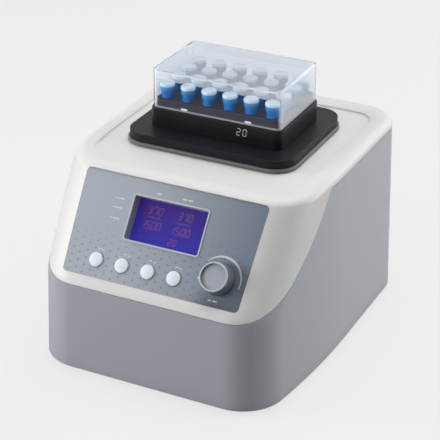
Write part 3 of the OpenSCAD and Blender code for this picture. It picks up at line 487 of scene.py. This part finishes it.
def tray_line(d, drop):
    """The step round the tray, moved in by d and down from the rim by a share of its height."""
    points = []
    for k in range(HALF):
        x, y = bowed(k, case_w(tray_z) - rim_w, case_front(tray_z) + rim_w - edge_r, back_y - rim_rear,
            tray_r, tray_rear_r, d)
        top = rim_at(y)
        points.append((x, y, top - (top - tray_z) * drop))
    return points


def boxed(k, w, front, rear, r):
    """Point k of the right half of a plain rounded rectangle."""
    if k <= CORNER:
        a = -pi / 2 + pi / 2 * k / CORNER
        return w - r + r * cos(a), front + r + r * sin(a)
    if k <= CORNER + SIDE:
        return w, front + r + (rear - front - 2 * r) * (k - CORNER) / (SIDE + 1)
    a = pi / 2 * (k - CORNER - SIDE - 1) / REAR
    return w - r + r * cos(a), rear - r + r * sin(a)


drive_y = 28
opening_x, opening_y, opening_r = 59.5, 43.5, 14
hole = [boxed(k, opening_x, drive_y - opening_y, drive_y + opening_y, opening_r) for k in range(HALF)]
crest = [s + 2 * seam for s in joint_line]
cover_steps = 18
rising = [[c + (shoulder_z - c) * t / cover_steps for c in crest] for t in range(cover_steps + 1)]
tray_steps = (-0.5, 0), (-0.15, 0.08), (0.1, 0.3), (0.4, 0.8), (0.7, 1), (1.2, 1)
cover = piece(wrap([row(joint_line, gap_depth), row([s + gap for s in joint_line], gap_depth),
    row([s + gap for s in joint_line], gap_round), row([s + gap + gap_round for s in joint_line], 0)] +
    [row(zs, 0) for zs in rising] +
    [over_edge(radians(a)) for a in range(8, 89, 8)] + [over_edge(pi / 2)] +
    [tray_line(d, drop) for d, drop in tray_steps] +
    [[(*p, tray_z) for p in hole], [(*p, tray_z - tray_t) for p in hole],
     row(tray_z - tray_t, cover_wall + 3), row(shoulder_z, cover_wall),
     row(rising[cover_steps // 2], cover_wall), row(crest, cover_wall), row(joint_line, wall)]),
    "top_cover_shell", "case", "top_cover", slot="cover", paint=white_shell, even=False)

# Places on the sloping panel: u across, v up the slope, h out of the face
panel_frame = Matrix.Translation((0, panel_y, panel_z)) @ Matrix.Rotation(slope, 4, "X")
panel_h = (tray_z - 5 - panel_z) / sin(slope)
panel_low, panel_high, panel_r = 83, 86.4, 4


def panel_slab(bottom, top, grow, r):
    """A slab with the panel's outline, a trapezium with round corners."""
    bm = slab((-1, 0, bottom), (1, 1, top))
    for vert in bm.verts:
        upper = vert.co.y > 0.5
        vert.co.x *= (panel_high if upper else panel_low) + grow
        vert.co.y = panel_h + grow if upper else -grow
    upright = [e for e in bm.edges if abs(e.verts[0].co.z - e.verts[1].co.z) > 1e-6]
    bmesh.ops.bevel(bm, geom=upright, offset=r, affect="EDGES", segments=10, profile=0.5, material=-1)
    return bm


def disc(x, y, low, high, d, steps=48):
    """An upright cylinder between two heights."""
    bm = bmesh.new()
    bmesh.ops.create_cone(bm, cap_ends=True, segments=steps, radius1=d / 2, radius2=d / 2,
        depth=high - low, matrix=Matrix.Translation((x, y, (low + high) / 2)))
    return bm


screen_w, screen_h, screen_v = 69.6, 38.4, 38.4
button_d, button_pitch, button_u, button_v = 12.6, 24.8, -54.5, 15.2
knob_u, knob_v = 59.8, 23.6
bezel_w, neck_d = 2.2, 9.2      # the bezel round the window, and the neck behind the knob
holes = [slab((-screen_w / 2 - bezel_w, screen_v - bezel_w, -9),
    (screen_w / 2 + bezel_w, screen_v + screen_h + bezel_w, 4), r=2), disc(knob_u, knob_v, -9, 4, neck_d)]
for i in range(4):
    holes.append(disc(button_u + i * button_pitch, button_v, -9, 4, button_d + 0.6))
carve(cover, piece(panel_slab(-0.8, 8, 0.3, panel_r), "pocket", None, turn=panel_frame, even=False),
    piece(joined(*holes), "panel_holes", None, turn=panel_frame, even=False), even=False)


def panel_axes(tree):
    """The place on the panel, across it and up its slope."""
    where = put(tree, "ShaderNodeTexCoord")
    flat = put(tree, "ShaderNodeMapping", vector_type="TEXTURE")
    flat.inputs["Location"].default_value = (0, panel_y * mm, panel_z * mm)
    flat.inputs["Rotation"].default_value = (slope, 0, 0)
    axes = put(tree, "ShaderNodeSeparateXYZ")
    tree.links.new(where.outputs["Object"], flat.inputs["Vector"])
    tree.links.new(flat.outputs[0], axes.inputs[0])
    return axes.outputs["X"], axes.outputs["Y"]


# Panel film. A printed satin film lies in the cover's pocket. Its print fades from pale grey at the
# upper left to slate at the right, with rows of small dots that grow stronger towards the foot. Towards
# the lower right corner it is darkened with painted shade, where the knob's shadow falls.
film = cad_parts["panel_overlay"]
print_paint = finish("printed_film", (0.4, 0.43, 0.46), 0.36, mottle=0.02, size=2500, depth=0.04)
tree = print_paint.node_tree
surface = next(n for n in tree.nodes if n.type == "GROUP")
across_panel, up_panel = panel_axes(tree)
fade = put(tree, "ShaderNodeMapRange", in_1=-0.03, in_2=0.085)
tree.links.new(across_panel, fade.inputs["Value"])
ground = put(tree, "ShaderNodeMix", data_type="RGBA")
ground.inputs["A"].default_value = (0.405, 0.44, 0.495, 1)
ground.inputs["B"].default_value = (0.175, 0.215, 0.275, 1)
tree.links.new(fade.outputs[0], ground.inputs["Factor"])
# Painted shade: the film darkens towards its lower right corner, beside and below the knob, where the knob's
# shadow falls.
knob_shade_slant = put(tree, "ShaderNodeMath", operation="MULTIPLY_ADD", in_1=-1.6)
tree.links.new(up_panel, knob_shade_slant.inputs[0])
tree.links.new(across_panel, knob_shade_slant.inputs[2])
knob_shade_mask = put(tree, "ShaderNodeMapRange", interpolation_type="SMOOTHSTEP", in_1=0.02, in_2=0.075,
    in_3=0, in_4=0.75)
tree.links.new(knob_shade_slant.outputs[0], knob_shade_mask.inputs["Value"])
painted_knob_shade = put(tree, "ShaderNodeMix", data_type="RGBA")
painted_knob_shade.inputs["B"].default_value = (0.075, 0.088, 0.115, 1)
tree.links.new(knob_shade_mask.outputs[0], painted_knob_shade.inputs["Factor"])
tree.links.new(ground.outputs["Result"], painted_knob_shade.inputs["A"])
dot_u, dot_v, dot_r, dot_start = 13.8, 6.6, 0.85, 50.2
rows_of_dots = []
for shift in (0, 0.5):
    across = put(tree, "ShaderNodeMath", operation="MULTIPLY_ADD", in_1=1 / (dot_u * mm),
        in_2=shift + dot_start)
    along = put(tree, "ShaderNodeMath", operation="MULTIPLY_ADD", in_1=1 / (dot_v * mm),
        in_2=shift + dot_start)
    tree.links.new(across_panel, across.inputs[0])
    tree.links.new(up_panel, along.inputs[0])
    parts = []
    for line, pitch in ((across, dot_u), (along, dot_v)):
        part = put(tree, "ShaderNodeMath", operation="FRACT")
        middle = put(tree, "ShaderNodeMath", operation="SUBTRACT", in_1=0.5)
        length = put(tree, "ShaderNodeMath", operation="MULTIPLY", in_1=pitch)
        square = put(tree, "ShaderNodeMath", operation="POWER", in_1=2)
        tree.links.new(line.outputs[0], part.inputs[0])
        tree.links.new(part.outputs[0], middle.inputs[0])
        tree.links.new(middle.outputs[0], length.inputs[0])
        tree.links.new(length.outputs[0], square.inputs[0])
        parts.append(square)
    total = put(tree, "ShaderNodeMath", operation="ADD")
    tree.links.new(parts[0].outputs[0], total.inputs[0])
    tree.links.new(parts[1].outputs[0], total.inputs[1])
    dot = put(tree, "ShaderNodeMapRange", in_1=(dot_r + 0.25) ** 2, in_2=(dot_r - 0.25) ** 2)
    tree.links.new(total.outputs[0], dot.inputs["Value"])
    rows_of_dots.append(dot)
dots = put(tree, "ShaderNodeMath", operation="MAXIMUM")
tree.links.new(rows_of_dots[0].outputs[0], dots.inputs[0])
tree.links.new(rows_of_dots[1].outputs[0], dots.inputs[1])
lean = put(tree, "ShaderNodeMath", operation="MULTIPLY_ADD", in_1=-0.11)
tree.links.new(across_panel, lean.inputs[0])
tree.links.new(up_panel, lean.inputs[2])
strength = put(tree, "ShaderNodeMapRange", in_1=0.056, in_2=0.028, in_3=0, in_4=0.55)
tree.links.new(lean.outputs[0], strength.inputs["Value"])
print_mask = put(tree, "ShaderNodeMath", operation="MULTIPLY")
tree.links.new(dots.outputs[0], print_mask.inputs[0])
tree.links.new(strength.outputs[0], print_mask.inputs[1])
printed = put(tree, "ShaderNodeMix", data_type="RGBA")
printed.inputs["B"].default_value = (0.11, 0.12, 0.145, 1)
tree.links.new(print_mask.outputs[0], printed.inputs["Factor"])
tree.links.new(painted_knob_shade.outputs["Result"], printed.inputs["A"])
tree.links.new(printed.outputs["Result"], surface.inputs["Colour"])
film.material_slots[0].material = print_paint

# The print's marks: plain pictograms at the labels, a tapering arc round the knob and its dot
white_ink = finish("white_ink", (0.66, 0.70, 0.74), 0.4, mottle=0.02, depth=0.02)
ink_h = 0.05


def bar(u, v, length, width, turn=0):
    """A printed stroke from its middle, turned in the plane of the panel."""
    bm = slab((-length / 2, -width / 2, 0), (length / 2, width / 2, ink_h), r=width * 0.45, steps=3)
    bmesh.ops.transform(bm, verts=bm.verts,
        matrix=Matrix.Translation((u, v, 0)) @ Matrix.Rotation(radians(turn), 4, "Z"))
    return bm


def arc(u, v, r, start, end, width):
    """A printed arc that tapers to its ends."""
    bm = bmesh.new()
    bmesh.ops.create_grid(bm, x_segments=28, y_segments=1, size=0.5)
    for vert in bm.verts:
        t = vert.co.x + 0.5
        a = radians(start + (end - start) * t)
        reach = r + vert.co.y * width * (0.25 + 0.75 * sin(pi * t))
        vert.co = (u + reach * cos(a), v + reach * sin(a), ink_h)
    return bm


marks = [arc(knob_u, knob_v, 19.3, 138, -14, 2.0), disc(41.3, 20.8, 0, ink_h, 1.7, 16)]
for i in range(4):
    u = button_u + i * button_pitch + 2.2
    marks += [bar(u - 2.2, 25.1, 3.2, 0.9, 12 * (i % 2)), bar(u + 1.8, 24.6, 2.6, 0.9)]
for v, u in ((71, -48.5), (63, -48.8), (53.5, -48.5)):
    marks += [bar(u - 3.6, v, 1.6, 1.6), bar(u + 1.2, v, 6.4, 1.1)]
marks += [bar(-13.5, 82, 4.6, 1.3), bar(10.6, 82, 4.2, 1.3), bar(15.9, 82, 4.6, 1.3)]
marks += [bar(56.2, 5, 3, 1.2), bar(60.9, 5, 4.2, 1.2)]
piece(joined(*marks), "panel_marks", "case", slot="trim", paint=white_ink, turn=panel_frame)


# Display. A thin pale frame lies on the film round a dark bezel, and a blue liquid crystal glass
# lies deep in it behind a clear window, with two columns of faint reddish numbers.
pale_trim = finish("pale_trim", (0.56, 0.59, 0.63), 0.34, mottle=0.02, depth=0.03)
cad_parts["display_trim"].material_slots[0].material = pale_trim
dark_bezel = finish("dark_bezel", (0.42, 0.43, 0.47), 0.5, mottle=0.04, depth=0.08)
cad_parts["display_bezel"].material_slots[0].material = dark_bezel


def glow_finish(name, colour, glow, strength):
    """A finish that also glows, lit from behind."""
    made = finish(name, colour, 0.3, mottle=0.02, depth=0.0, Specular_IOR_Level=0.1)
    shader = made.node_tree.nodes["Principled BSDF"]
    shader.inputs["Emission Color"].default_value = (*glow, 1)
    shader.inputs["Emission Strength"].default_value = strength
    return made


crystal = glow_finish("blue_crystal", (0.015, 0.010, 0.12), (0.062, 0.030, 0.47), 0.66)
tree = crystal.node_tree
shader = tree.nodes["Principled BSDF"]
# Painted shade: the glow dims and turns violet towards the glass's top edge, where the bezel's upper wall
# shades it.
rise = put(tree, "ShaderNodeMapRange", in_1=screen_v * mm, in_2=(screen_v + screen_h) * mm)
backlight_with_painted_shade = put(tree, "ShaderNodeMix", data_type="RGBA")
backlight_with_painted_shade.inputs["A"].default_value = (0.036, 0.040, 0.47, 1)
backlight_with_painted_shade.inputs["B"].default_value = (0.052, 0.012, 0.17, 1)
tree.links.new(panel_axes(tree)[1], rise.inputs["Value"])
tree.links.new(rise.outputs[0], backlight_with_painted_shade.inputs["Factor"])
tree.links.new(backlight_with_painted_shade.outputs["Result"], shader.inputs["Emission Color"])
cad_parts["display_glass"].material_slots[0].material = crystal

digit_ink = glow_finish("crystal_digits", (0.05, 0.02, 0.04), (0.22, 0.085, 0.13), 0.8)
SEGMENTS = {"0": "abcdef", "1": "bc", "2": "abged", "3": "abgcd", "5": "afgcd", "7": "abc"}


def digit(figure, u, v, h):
    """One figure of seven strokes, h high and slightly slanted."""
    half = h / 4
    strokes = {"a": (0, 2 * half, 1), "g": (0, 0, 1), "d": (0, -2 * half, 1), "f": (-half, half, 0),
        "b": (half, half, 0), "e": (-half, -half, 0), "c": (half, -half, 0)}
    made = []
    for name in SEGMENTS[figure]:
        x, y, flat_one = strokes[name]
        made.append(bar(u + x + 0.12 * y, v + y, 1.72 * half, 0.62, 0 if flat_one else 83))
    return joined(*made)


figures = []
for text, u, v, h in (("370", -18, 68.5, 6.4), ("370", 10.5, 68.5, 6.4), ("1500", -19, 55.5, 6.4),
                      ("1500", 9, 55.5, 6.4), ("20", 4.5, 44.8, 5.4)):
    for i, figure in enumerate(text):
        figures.append(digit(figure, u + (i - (len(text) - 1) / 2) * h * 0.78, v, h))
for u, v, length in ((-18, 62.3, 13), (10.5, 62.3, 13)):
    figures.append(bar(u, v, length, 0.5))
glass_top = -10 - 1.2           # the crystal's face below the film's, under the window
piece(joined(*figures), "display_figures", "case", slot="display", paint=digit_ink,
    turn=panel_frame @ Matrix.Translation((0, 0, glass_top)))


def clear_finish(name, colour, roughness=0.02, ior=1.45, weight=1.0, shade=0.85, gloss=0.5):
    """Clear plastic: a plain transmission, and lamps shine through it by a shadow ray."""
    made = finish(name, colour, roughness, mottle=0.0, uneven=0.02, depth=0.0,
        Transmission_Weight=weight, IOR=ior, Specular_IOR_Level=gloss)
    tree = made.node_tree
    shader = tree.nodes["Principled BSDF"]
    rays = put(tree, "ShaderNodeLightPath")
    through = put(tree, "ShaderNodeBsdfTransparent")
    through.inputs["Color"].default_value = (*(shade * c for c in colour), 1)
    tree.links.new(blend(tree, rays.outputs["Is Shadow Ray"], shader.outputs[0], through.outputs[0]),
        tree.nodes["Material Output"].inputs["Surface"])
    return made


window_clear = clear_finish("window_clear", (0.95, 0.96, 0.98), 0.03, 1.2, gloss=0.1)
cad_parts["display_window"].material_slots[0].material = window_clear


# Push buttons. Four round caps of pale grey plastic with softly domed faces. Each cap's flange is
# held behind the cover, and its stem presses a key switch.
button_pale = finish("button_pale", (0.83, 0.88, 0.94), 0.38, mottle=0.015, depth=0.03,
    Subsurface_Weight=0.15, Subsurface_Scale=0.002)


def turned(outline, steps=64):
    """Spins an outline of (radius, height) points about the upright axis."""
    bm = bmesh.new()
    line = [bm.verts.new((r, 0, z)) for r, z in outline]
    edges = [bm.edges.new(pair) for pair in zip(line, line[1:])]
    bmesh.ops.spin(bm, geom=line + edges, axis=(0, 0, 1), cent=(0, 0, 0), dvec=(0, 0, 0), angle=2 * pi,
        steps=steps, use_merge=True)
    bmesh.ops.remove_doubles(bm, verts=bm.verts, dist=0.0005)
    bmesh.ops.recalc_face_normals(bm, faces=bm.faces)
    return bm


def rounded(x0, z0, x1, z1, steps=5):
    """Points of a quarter round from (x0, z0) to (x1, z1), starting upright."""
    return [(x0 + (x1 - x0) * (1 - cos(a)), z0 + (z1 - z0) * sin(a))
            for a in (pi / 2 * i / steps for i in range(steps + 1))]


cover_in = cover_inset - cover_wall * sin(slope)     # the cover's inner face behind the film
button_r, button_h, flange_h = button_d / 2, 2, cover_in - 0.1 - 1.2
for i in range(4):
    cap = turned([(0, flange_h - 2), (2, flange_h - 2), (2, flange_h), (button_r + 1.2, flange_h),
        (button_r + 1.2, flange_h + 1.2), (button_r, flange_h + 1.2)] +
        rounded(button_r, button_h - 1.1, button_r - 0.8, button_h - 0.55) +
        [(r, button_h - 0.55 * (r / (button_r - 0.8)) ** 2) for r in (4.6, 3.6, 2.4, 1.2)] + [(0, button_h)])
    piece(cap, f"button_cap_{i + 1}", f"button_{i + 1}", f"button_{i + 1}", slot="buttons", paint=button_pale,
        turn=panel_frame @ Matrix.Translation((button_u + i * button_pitch, button_v, 0)))


# Knob. A turned cap of satin grey plastic with a dished face. Its side is darkened with painted shade
# and its rim lightened with a painted highlight. Its spindle runs into the encoder, and its foot stands
# clear of the film by the encoder's travel.
# Painted shade on the side and a painted highlight on the rim, both on the cap's one satin grey.
knob_side_painted_shade = finish("knob_side_painted_shade", (0.125, 0.135, 0.155), 0.42, mottle=0.03, depth=0.05)
knob_face = finish("knob_face", (0.41, 0.44, 0.49), 0.35, mottle=0.02, depth=0.03)
knob_rim_painted_highlight = finish("knob_rim_painted_highlight", (0.54, 0.575, 0.63), 0.28, mottle=0.01, depth=0.02)
knob_d, knob_top, knob_h, knob_foot, dish = 28, 25.4, 14, 1.4, 2.2
r = knob_top / 2
spindle_r, spindle_low, hollow_r = 3, cover_in - 1.9, 8.5
foot_r = knob_d / 2
cap = turned([(0, spindle_low), (spindle_r - 0.4, spindle_low), (spindle_r, spindle_low + 0.4),
    (spindle_r, knob_foot + 4), (hollow_r, knob_foot + 4), (hollow_r, knob_foot), (foot_r - 0.8, knob_foot)] +
    rounded(foot_r - 0.4, knob_foot + 0.3, foot_r, knob_foot + 0.8, 2)[1:] +
    [(foot_r + (r - foot_r) * t, knob_foot + 0.8 + (knob_h - knob_foot - 1.5) * t)
     for t in (0.25, 0.5, 0.75, 1)] +
    rounded(r, knob_h - 0.7, r - 0.6, knob_h, 4)[1:] + [(r - 1.3, knob_h), (r - 1.55, knob_h - 0.25),
     (r - 1.75, knob_h - dish + 0.3), (r - 2.05, knob_h - dish), (r - 5, knob_h - dish),
     (0, knob_h - dish)], steps=96)
# Faces in the dish take the face grey, faces on the top edge the painted highlight, and the rest the painted
# shade.
for face in cap.faces:
    middle = face.calc_center_median()
    reach = sqrt(middle.x ** 2 + middle.y ** 2)
    if middle.z > knob_h - dish - 0.1 and reach < r - 1.9:
        face.material_index = 1
    elif middle.z > knob_h - 0.75:
        face.material_index = 2
piece(cap, "knob_cap", "knob", "knob", slot="knob", paint=[knob_side_painted_shade, knob_face, knob_rim_painted_highlight],
    turn=panel_frame @ Matrix.Translation((knob_u, knob_v, 0)))


# Platform. A black anodised plate with round corners carries the block in a shallow nest, on a
# dark brown skirt that hangs over the tray.
anodised = finish("black_anodised", (0.012, 0.011, 0.016), 0.42, mottle=0.1, size=2600, depth=0.06,
    Specular_IOR_Level=0.16)
skirt_brown = finish("skirt_brown", (0.150, 0.144, 0.142), 0.5, mottle=0.05, depth=0.1)


def slab_of(node, r, **sizes):
    """A slab that fills the box of a solid."""
    low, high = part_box(node)
    return slab(low / mm, high / mm, r, **sizes)


plate = piece(slab_of("platform_plate", 20, rim=0.5, foot=0.3, steps=16), "platform_plate_top", "platform",
    "platform_plate", slot="plate", paint=anodised)
low, high = (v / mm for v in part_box("heat_block"))
nest = slab(low - Vector((0.3, 0.3, 0)), high + Vector((0.3, 0.3, 0)), 7.3)
carve(plate, piece(nest, "nest", None))
skirt = piece(slab_of("platform_skirt", 21.6, rim=0.6, foot=0.3, steps=16), "platform_skirt_ring", "platform",
    "platform_skirt", slot="skirt", paint=skirt_brown)
carve(skirt, piece(slab((-57.5, -12, 170), (57.5, 71, 180), 9), "skirt_opening", None))


# Heating block. A machined aluminium block in two steps, anodised black, bored for the tubes. Its
# edges are broken, and the lid seats on the ledge round the upper step.
block_black = finish("block_black", (0.008, 0.0075, 0.010), 0.34, mottle=0.1, size=2200, depth=0.05,
    Specular_IOR_Level=0.25)
# The upper step's black is lifted towards blue: a painted reflection of the clear lid that stands over it.
step_black_painted_reflection = finish("step_black_painted_reflection", (0.022, 0.022, 0.034), 0.42, mottle=0.1, size=2200, depth=0.05,
    Specular_IOR_Level=0.15)
plat_y = 29.5
ledge_z = 202.9
tube_pitch = 20.4
tube_places = [((i - 2.5) * tube_pitch, plat_y + (j - 1.5) * tube_pitch) for i in range(6) for j in range(4)]
tube_d = 10.8


def bores():
    """Every tube's bore, from its floor to above the upper step."""
    return joined(*[disc(x, y, 184, 216, tube_d + 0.2, 32) for x, y in tube_places])


block = piece(slab_of("heat_block", 7, rim=0.5, foot=0.5), "heat_block_base", "block", "heat_block",
    slot="block", paint=block_black)
carve(block, piece(bores(), "bores", None))
step = piece(slab_of("block_step", 5, rim=0.7), "heat_block_step", "block", "block_step",
    slot="block", paint=step_black_painted_reflection)
clip_slots = [slab((x - 3, y - 1, ledge_z + 1), (x + 3, y + 1, ledge_z + 3.2))
    for x in (-31, 31) for y in (plat_y - 38.4, plat_y + 38.4)]
carve(step, piece(bores(), "bores", None), piece(joined(*clip_slots), "clip_slots", None))
number_front = Matrix.Translation((26.7, plat_y - 42, 196.2)) @ Matrix.Rotation(pi / 2, 4, "X")
piece(joined(digit("2", -2.9, 0, 6.2), digit("0", 2.9, 0, 6.2)), "block_number", "block", slot="trim",
    paint=white_ink, turn=number_front)
clip_white = finish("clip_white", (0.70, 0.70, 0.72), 0.3, mottle=0.02, depth=0.02)
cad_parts["block_clips"].material_slots[0].material = clip_white


# Tubes. Twenty-four round-ended tubes of translucent plastic with a stout collar, part filled with
# blue liquid, so they are paler under the cap. Each cap has a raised rim, a lip and a hinge.
tube_plastic = clear_finish("tube_plastic", (0.01, 0.23, 0.58), 0.16, 1.3, 0.5, 0.9, gloss=0.25)
tree = tube_plastic.node_tree
where = put(tree, "ShaderNodeTexCoord")
axes = put(tree, "ShaderNodeSeparateXYZ")
rise = put(tree, "ShaderNodeMapRange", in_1=0.2175, in_2=0.2235)
empty = put(tree, "ShaderNodeMix", data_type="RGBA")
empty.inputs["A"].default_value = (0.008, 0.195, 0.56, 1)
empty.inputs["B"].default_value = (0.10, 0.46, 0.72, 1)
tree.links.new(where.outputs["Object"], axes.inputs[0])
tree.links.new(axes.outputs["Z"], rise.inputs["Value"])
tree.links.new(rise.outputs[0], empty.inputs["Factor"])
tree.links.new(empty.outputs["Result"], tree.nodes["Principled BSDF"].inputs["Base Color"])
cap_plastic = finish("cap_plastic", (0.44, 0.52, 0.58), 0.35, mottle=0.03, depth=0.02)
blue_liquid = finish("blue_liquid", (0.004, 0.08, 0.36), 0.12, mottle=0.04, depth=0.0)
tube_low, tube_top, cap_t, tube_wall = 184.4, 224.9, 2.4, 1
collar_r = 6.5
low, high = tube_low, tube_top - cap_t


def round_end(r, z):
    """Points of a round tube end of radius r, from its lowest point at z to its side."""
    return [(r * sin(a), z + r - r * cos(a)) for a in (pi / 16 * i for i in range(9))]


def at_each_tube(one):
    """Copies a shape made about the axis to every place of the block."""
    carrier = bpy.data.meshes.new("carrier")
    one.to_mesh(carrier)
    one.free()
    made = bmesh.new()
    for x, y in tube_places:
        start = len(made.verts)
        made.from_mesh(carrier)
        made.verts.ensure_lookup_table()
        bmesh.ops.translate(made, vec=(x, y, 0), verts=made.verts[start:])
    bpy.data.meshes.remove(carrier)
    return made


body_r = tube_d / 2
shape = round_end(body_r, low) + [(body_r, high - 5.4), (collar_r - 0.2, high - 5), (collar_r, high - 4.7),
    (collar_r, high), (body_r - tube_wall, high)] + \
    [(r, z) for r, z in reversed(round_end(body_r - tube_wall, low + tube_wall))]
piece(at_each_tube(turned(shape, 32)), "tube_bodies", "block", "tubes", slot="tube", paint=tube_plastic)
inner = body_r - tube_wall + 0.12
fill_z = high - 4.4
shape = round_end(inner, low + tube_wall - 0.1) + [(inner, fill_z), (inner - 0.5, fill_z - 0.3),
    (0, fill_z - 0.4)]
piece(at_each_tube(turned(shape, 28)), "tube_liquid", "block", "tube_samples", slot="samples",
    paint=blue_liquid)
cap_r = 6.7
plug_r = body_r - tube_wall - 0.05
shape = [(0, high), (plug_r - 1, high), (plug_r - 1, high - 3.4), (plug_r, high - 3.4), (plug_r, high)] + \
    rounded(cap_r, high, cap_r - 0.5, tube_top, 4) + [(cap_r - 1.3, tube_top), (cap_r - 1.6, tube_top - 0.5),
    (2.4, tube_top - 0.5), (2.1, tube_top - 0.35), (0, tube_top - 0.35)]
cap = joined(turned(shape, 40),
    slab((-2, cap_r - 0.2, high - 3), (2, cap_r + 0.6, tube_top - 0.6), 0.3, steps=2),
    slab((-2, -cap_r - 0.5, high + 0.2), (2, -cap_r + 0.3, high + 1.3), 0.3, steps=2))
piece(at_each_tube(cap), "tube_lids", "block", "tube_caps", slot="caps", paint=cap_plastic)


# Clear lid. One clear moulding, a box with thin walls and soft edges, that seats on the block's
# ledge over the tubes. Its top, its ends and the upper band of its front carry a pale painted
# reflection, and its bottom edge a thin painted highlight.
lid_clear = clear_finish("lid_clear", (0.965, 0.97, 0.98), 0.03, 1.25, 1.0, 0.94)
# Pale, less clear finishes: a painted reflection on the top, on the ends and the upper front band, and a
# painted highlight at the foot.
lid_top_painted_reflection = clear_finish("lid_top_painted_reflection", (0.70, 0.73, 0.77), 0.02, 1.2, 0.79, 0.94)
lid_painted_reflection = clear_finish("lid_painted_reflection", (0.88, 0.91, 0.94), 0.03, 1.25, 0.74, 0.94)
lid_edge_painted_highlight = clear_finish("lid_edge_painted_highlight", (0.62, 0.63, 0.68), 0.1, 1.25, 0.62, 0.94)
lid_low, lid_high = (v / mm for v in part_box("clear_lid"))
outer = slab(lid_low, lid_high, 6, rim=1.2, foot=0.9, steps=12)
for face in outer.faces:
    face.smooth = True
hollow = slab(lid_low + Vector((2, 2, -3)), lid_high - Vector((2, 2, 2)), 4, rim=0.8, steps=12)
edge_highlight_top, reflection_band_foot = lid_low.z + 1.7, lid_low.z + 27
for walls in (outer, hollow):
    for level in (edge_highlight_top, reflection_band_foot):
        bmesh.ops.bisect_plane(walls, geom=walls.verts[:] + walls.edges[:] + walls.faces[:],
            plane_co=(0, 0, level), plane_no=(0, 0, 1))
lid = piece(outer, "clear_lid_shell", "lid", "clear_lid", slot="lid",
    paint=[lid_clear, lid_top_painted_reflection, lid_painted_reflection, lid_edge_painted_highlight])
carve(lid, piece(hollow, "hollow", None))
# Faces get the painted reflection by the way they face and their height, and the painted highlight along the
# foot.
for face in lid.data.polygons:
    height = face.center.z / mm
    face.material_index = 2 if abs(face.normal.x) > 0.7 or height > reflection_band_foot else 0
    if abs(face.normal.z) > 0.98:
        face.material_index = 1
    if height < edge_highlight_top:
        face.material_index = 3


# Inner pieces and fittings. Every other node keeps its own shape and gets the finish of what it is
# made from: bright steel, cast aluminium, bronze, black mouldings, laminate and rubber.
brushed = surface_group("brushed_metal", stretch=(0.04, 1, 1), detail=4, relief=0.00004)
steel = finish("zinc_steel", (0.60, 0.61, 0.63), 0.34, mottle=0.2, size=900, depth=0.2, group=brushed,
    Metallic=1.0)
cast = finish("cast_aluminium", (0.62, 0.63, 0.65), 0.5, mottle=0.12, size=1400, depth=0.5, Metallic=1.0)
ground_steel = finish("ground_steel", (0.66, 0.67, 0.69), 0.2, mottle=0.12, size=1600, depth=0.1,
    group=brushed, Metallic=1.0)
bronze = finish("bronze", (0.56, 0.37, 0.16), 0.32, mottle=0.15, size=1200, depth=0.2, group=brushed,
    Metallic=1.0)
plated = finish("plated_contacts", (0.72, 0.66, 0.50), 0.25, mottle=0.1, size=900, depth=0.1, group=brushed,
    Metallic=1.0)
black_plastic = finish("black_plastic", (0.022, 0.022, 0.024), 0.42, mottle=0.1, size=1700, depth=0.25)
motor_paint = finish("motor_paint", (0.035, 0.036, 0.04), 0.4, mottle=0.1, size=1200, depth=0.3)
rubber = finish("black_rubber", (0.028, 0.028, 0.028), 0.75, mottle=0.15, size=1400, depth=0.4)
laminate = finish("green_laminate", (0.018, 0.12, 0.045), 0.35, mottle=0.35, size=700, depth=0.15,
    group=brushed)
ceramic = finish("white_ceramic", (0.72, 0.72, 0.69), 0.4, mottle=0.05, depth=0.1)
fibre = finish("fibre_pad", (0.62, 0.57, 0.42), 0.9, mottle=0.3, size=500, depth=1.0)
foil = finish("heater_foil", (0.42, 0.17, 0.04), 0.3, mottle=0.2, size=400, depth=0.2, group=brushed)
finishes = {
    steel: ["base_plate", "machine_screws", "drive_pillars", "board_standoffs", "encoder_nut"],
    cast: ["drive_deck", "platform_carrier", "counterweight"],
    ground_steel: ["deck_bearings", "drive_shaft", "eccentric_hub", "idler_1", "idler_2", "idler_3",
        "idler_4", "eccentric_bearing", "platform_posts"],
    bronze: ["idler_bushes"],
    plated: ["inlet_pins"],
    black_plastic: ["display_frame", "key_switches", "encoder_body", "encoder_plunger", "mains_inlet",
        "fuse_drawer", "switch_body", "switch_rocker", "fan_frame", "fan_rotor"],
    motor_paint: ["motor_body"],
    rubber: ["rubber_feet"],
    laminate: ["display_board", "key_board", "control_board", "power_board", "power_parts"],
    ceramic: ["temperature_sensor"],
    fibre: ["insulation_pad"],
    foil: ["heater_plate"],
}
for paint, names in finishes.items():
    for name in names:
        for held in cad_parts[name].material_slots:
            held.material = paint
